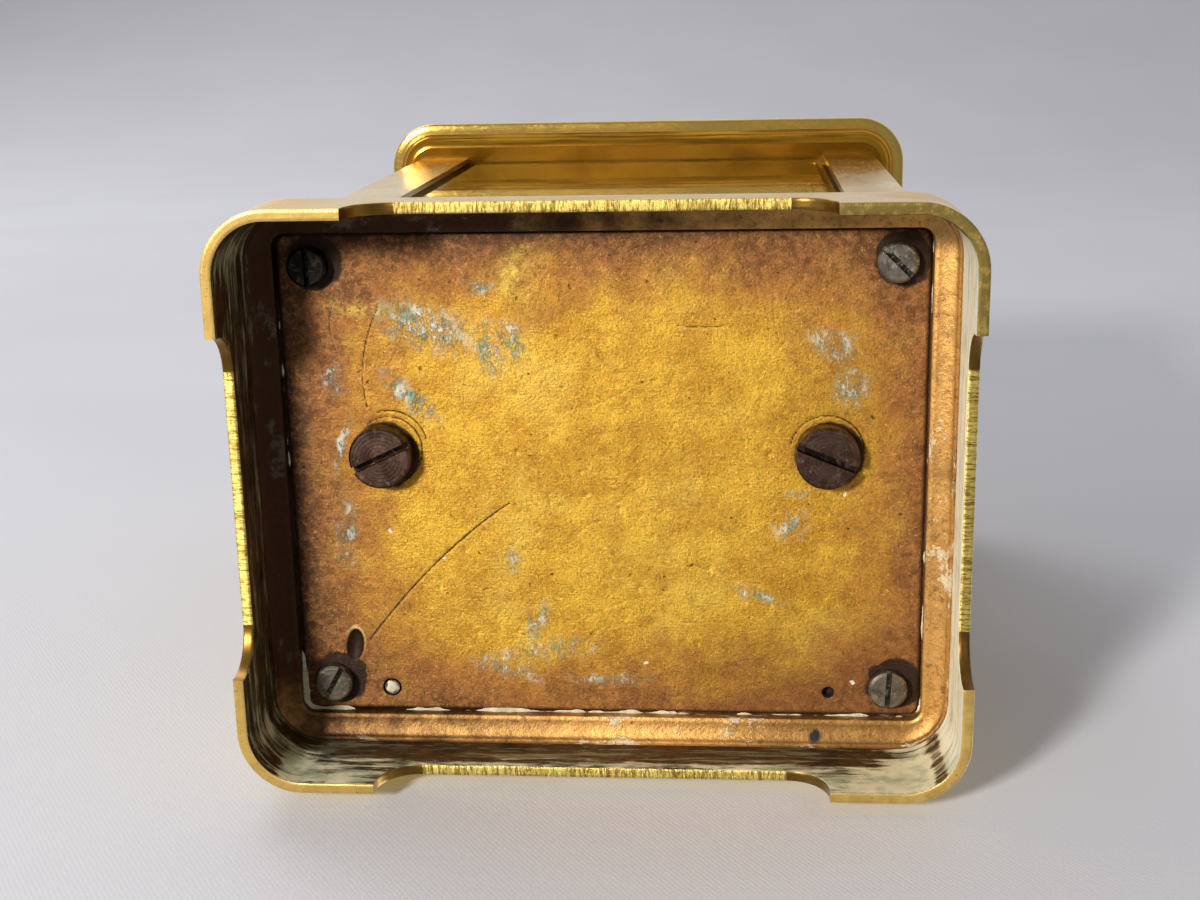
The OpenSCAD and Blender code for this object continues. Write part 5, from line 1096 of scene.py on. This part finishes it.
def build_click_leaf():
    """The click's spring: an eye under its screw and a curved leaf, in one fixed shape."""
    lo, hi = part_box("click_spring")
    y0, y1 = lo.y * 1000 + 0.02, hi.y * 1000
    cx, cz = hi.x * 1000 - 1.4, hi.z * 1000 - 1.4
    skin = Skin().rows([[(cx + a, y, cz + b) for a, b in circle(r, 40)]
                        for r, y in ((0.62, y0), (1.38, y0), (1.38, y1), (0.62, y1))], closed=True)
    root, bend, tip = (-0.95, -0.95), (-2.5, -2.6), (-4.18, -5.5)
    first = len(skin.verts)
    rows = []
    for i in range(23):
        f = i / 22
        x, z = pulled(root, bend, tip, f)
        dx, dz = [(1 - f) * (bend[i] - root[i]) + f * (tip[i] - bend[i]) for i in (0, 1)]
        ln = hypot(dx, dz)
        w = 0.42 * (1 - f) ** 1.5 + 0.15
        rows.append([(cx + x - dz / ln * w * e, y, cz + z + dx / ln * w * e)
                     for e, y in ((-1, y0 + 0.05), (1, y0 + 0.05), (1, y1 - 0.05), (-1, y1 - 0.05))])
    skin.rows(rows)
    skin.faces.append((first + 3, first + 2, first + 1, first))
    skin.cap(4)
    o = piece("click_leaf", skin, None, [SPRING], replaces=("click_spring",))
    edges(o, 0.05, 50)
    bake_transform(o)


build_trim()
build_jewels()
build_sinks()
build_click_leaf()
build_base()
build_cap()
build_plate()
build_residue()
build_dial()


# ---- stage
def stage_material(name, colour, weave):
    """Seen from its front by the camera, and without a weave through glass too; the lamps pass it."""
    t = Tree(name)
    tone = t.mix(t.patch(0.012, 3, 0.5, 0.0, 0.3, 0.7), colour, [c * 0.965 for c in colour])
    given = {"Color": tone}
    seen = t.ray("Camera")
    if weave:
        cloth = {"Vector": t.place(rot=(0, 0.6, 0)), "Scale": 0.62, "Distortion": 1.5}
        threads = t.node("TexWave", cloth, "Fac", bands_direction="X")
        given["Normal"] = t.bump(threads * 0.16 + t.noise(2.0, 3, 0.6) * 0.7, 0.03)
    else:
        seen = t.most(seen, t.ray("Transmission"))
    seen = seen * (1.0 - t.node("NewGeometry", out="Backfacing"))
    return t.surface(t.node("MixShader", (seen, t.node("BsdfTransparent"), t.node("BsdfDiffuse", given))))


def sheet(name, rows, xs, mat):
    """A stage plane from (y, z) rows, in metres."""
    skin = Skin().rows([[(x, y, z) for x in xs] for y, z in rows], wrap=False)
    add_mesh(name, skin.verts, skin.faces, [mat])


PALE = (0.76, 0.765, 0.81)
CLOTH_Y, CURVE_Z, CURVE_R = 0.0338, 0.65, 0.8
FLOOR_Z = -0.00003
# cloth behind the clock, on which it lies in the main view; it rises into a backdrop far off
cloth_rows = [(CLOTH_Y, z) for z in (-1.2, 0.0, 0.35, CURVE_Z)]
cloth_rows += [(CLOTH_Y - CURVE_R * (1 - cos(a / 16)), CURVE_Z + CURVE_R * sin(a / 16))
               for a in range(1, 26)]
cloth_rows.append((-3.0, 1.45))
sheet("table_cloth", cloth_rows, (-2.5, -0.5, 0, 0.5, 2.5), stage_material("cloth", PALE, True))
FLOOR_AT = (2.5, 0, -2.5)
sheet("floor", [(y, FLOOR_Z) for y in FLOOR_AT], FLOOR_AT, stage_material("pale_floor", PALE, False))

# ---- light
world = bpy.data.worlds.new("studio")
scene.world = world
air = Tree(world)
x, _, z = air.xyz(air.node("TexCoord", out="Generated"))
height = air.span(z, -1, 1, kind="LINEAR")


def sky(*stops):
    """Grey levels against height, from straight down (0) to straight up (1)."""
    r = air.nt.nodes.new("ShaderNodeValToRGB")
    air.put(r.inputs[0], height)
    ramp = r.color_ramp.elements
    while len(ramp) < len(stops):
        ramp.new(0.5)
    for e, (p, g) in zip(ramp, stops):
        e.position = p
        e.color = (g, g, g * 1.03, 1)
    return Wire(air, r.outputs[0])


shine = sky((0.0, 0.30), (0.12, 0.26), (0.24, 0.30), (0.34, 0.46), (0.46, 0.66), (0.505, 0.30), (0.56, 0.34),
            (0.66, 0.62), (1.0, 0.70))
across = air.span(x, -1, 1, 1.20, 0.72, "LINEAR")
shine = air.node("VectorMath", {0: shine, "Scale": across}, operation="SCALE")
glow = sky((0.0, 0.30), (0.22, 0.26), (0.42, 0.14), (0.52, 0.24), (0.66, 0.58), (1.0, 0.70))
glow = air.mix(air.ray("Glossy"), glow, shine)
glow = air.mix(air.most(air.ray("Camera"), air.ray("Transmission")), glow, (0.50, 0.50, 0.54))
air.node("OutputWorld", (air.node("Background", (glow,)),))


def lamp(name, at, to, size, watts, colour=(1, 1, 1)):
    """A square area lamp that the camera doesn't see."""
    d = bpy.data.lights.new(name, "AREA")
    d.shape = "RECTANGLE"
    d.size = size
    d.size_y = size
    d.energy = watts
    d.color = colour
    o = bpy.data.objects.new(name, d)
    scene.collection.objects.link(o)
    o.location = at
    o.rotation_euler = (Vector(to) - Vector(at)).to_track_quat("-Z", "Y").to_euler()
    o.visible_camera = False


lamp("window", (-0.42, -0.31, -0.72), (0, 0, 0.01), 0.13, 8.4, (1.0, 0.975, 0.94))
lamp("key", (-0.45, -0.60, 0.62), (0, 0, 0.06), 0.45, 2.3)
lamp("rear", (0.55, 0.62, 0.45), (0, 0, 0.06), 0.5, 2.4)
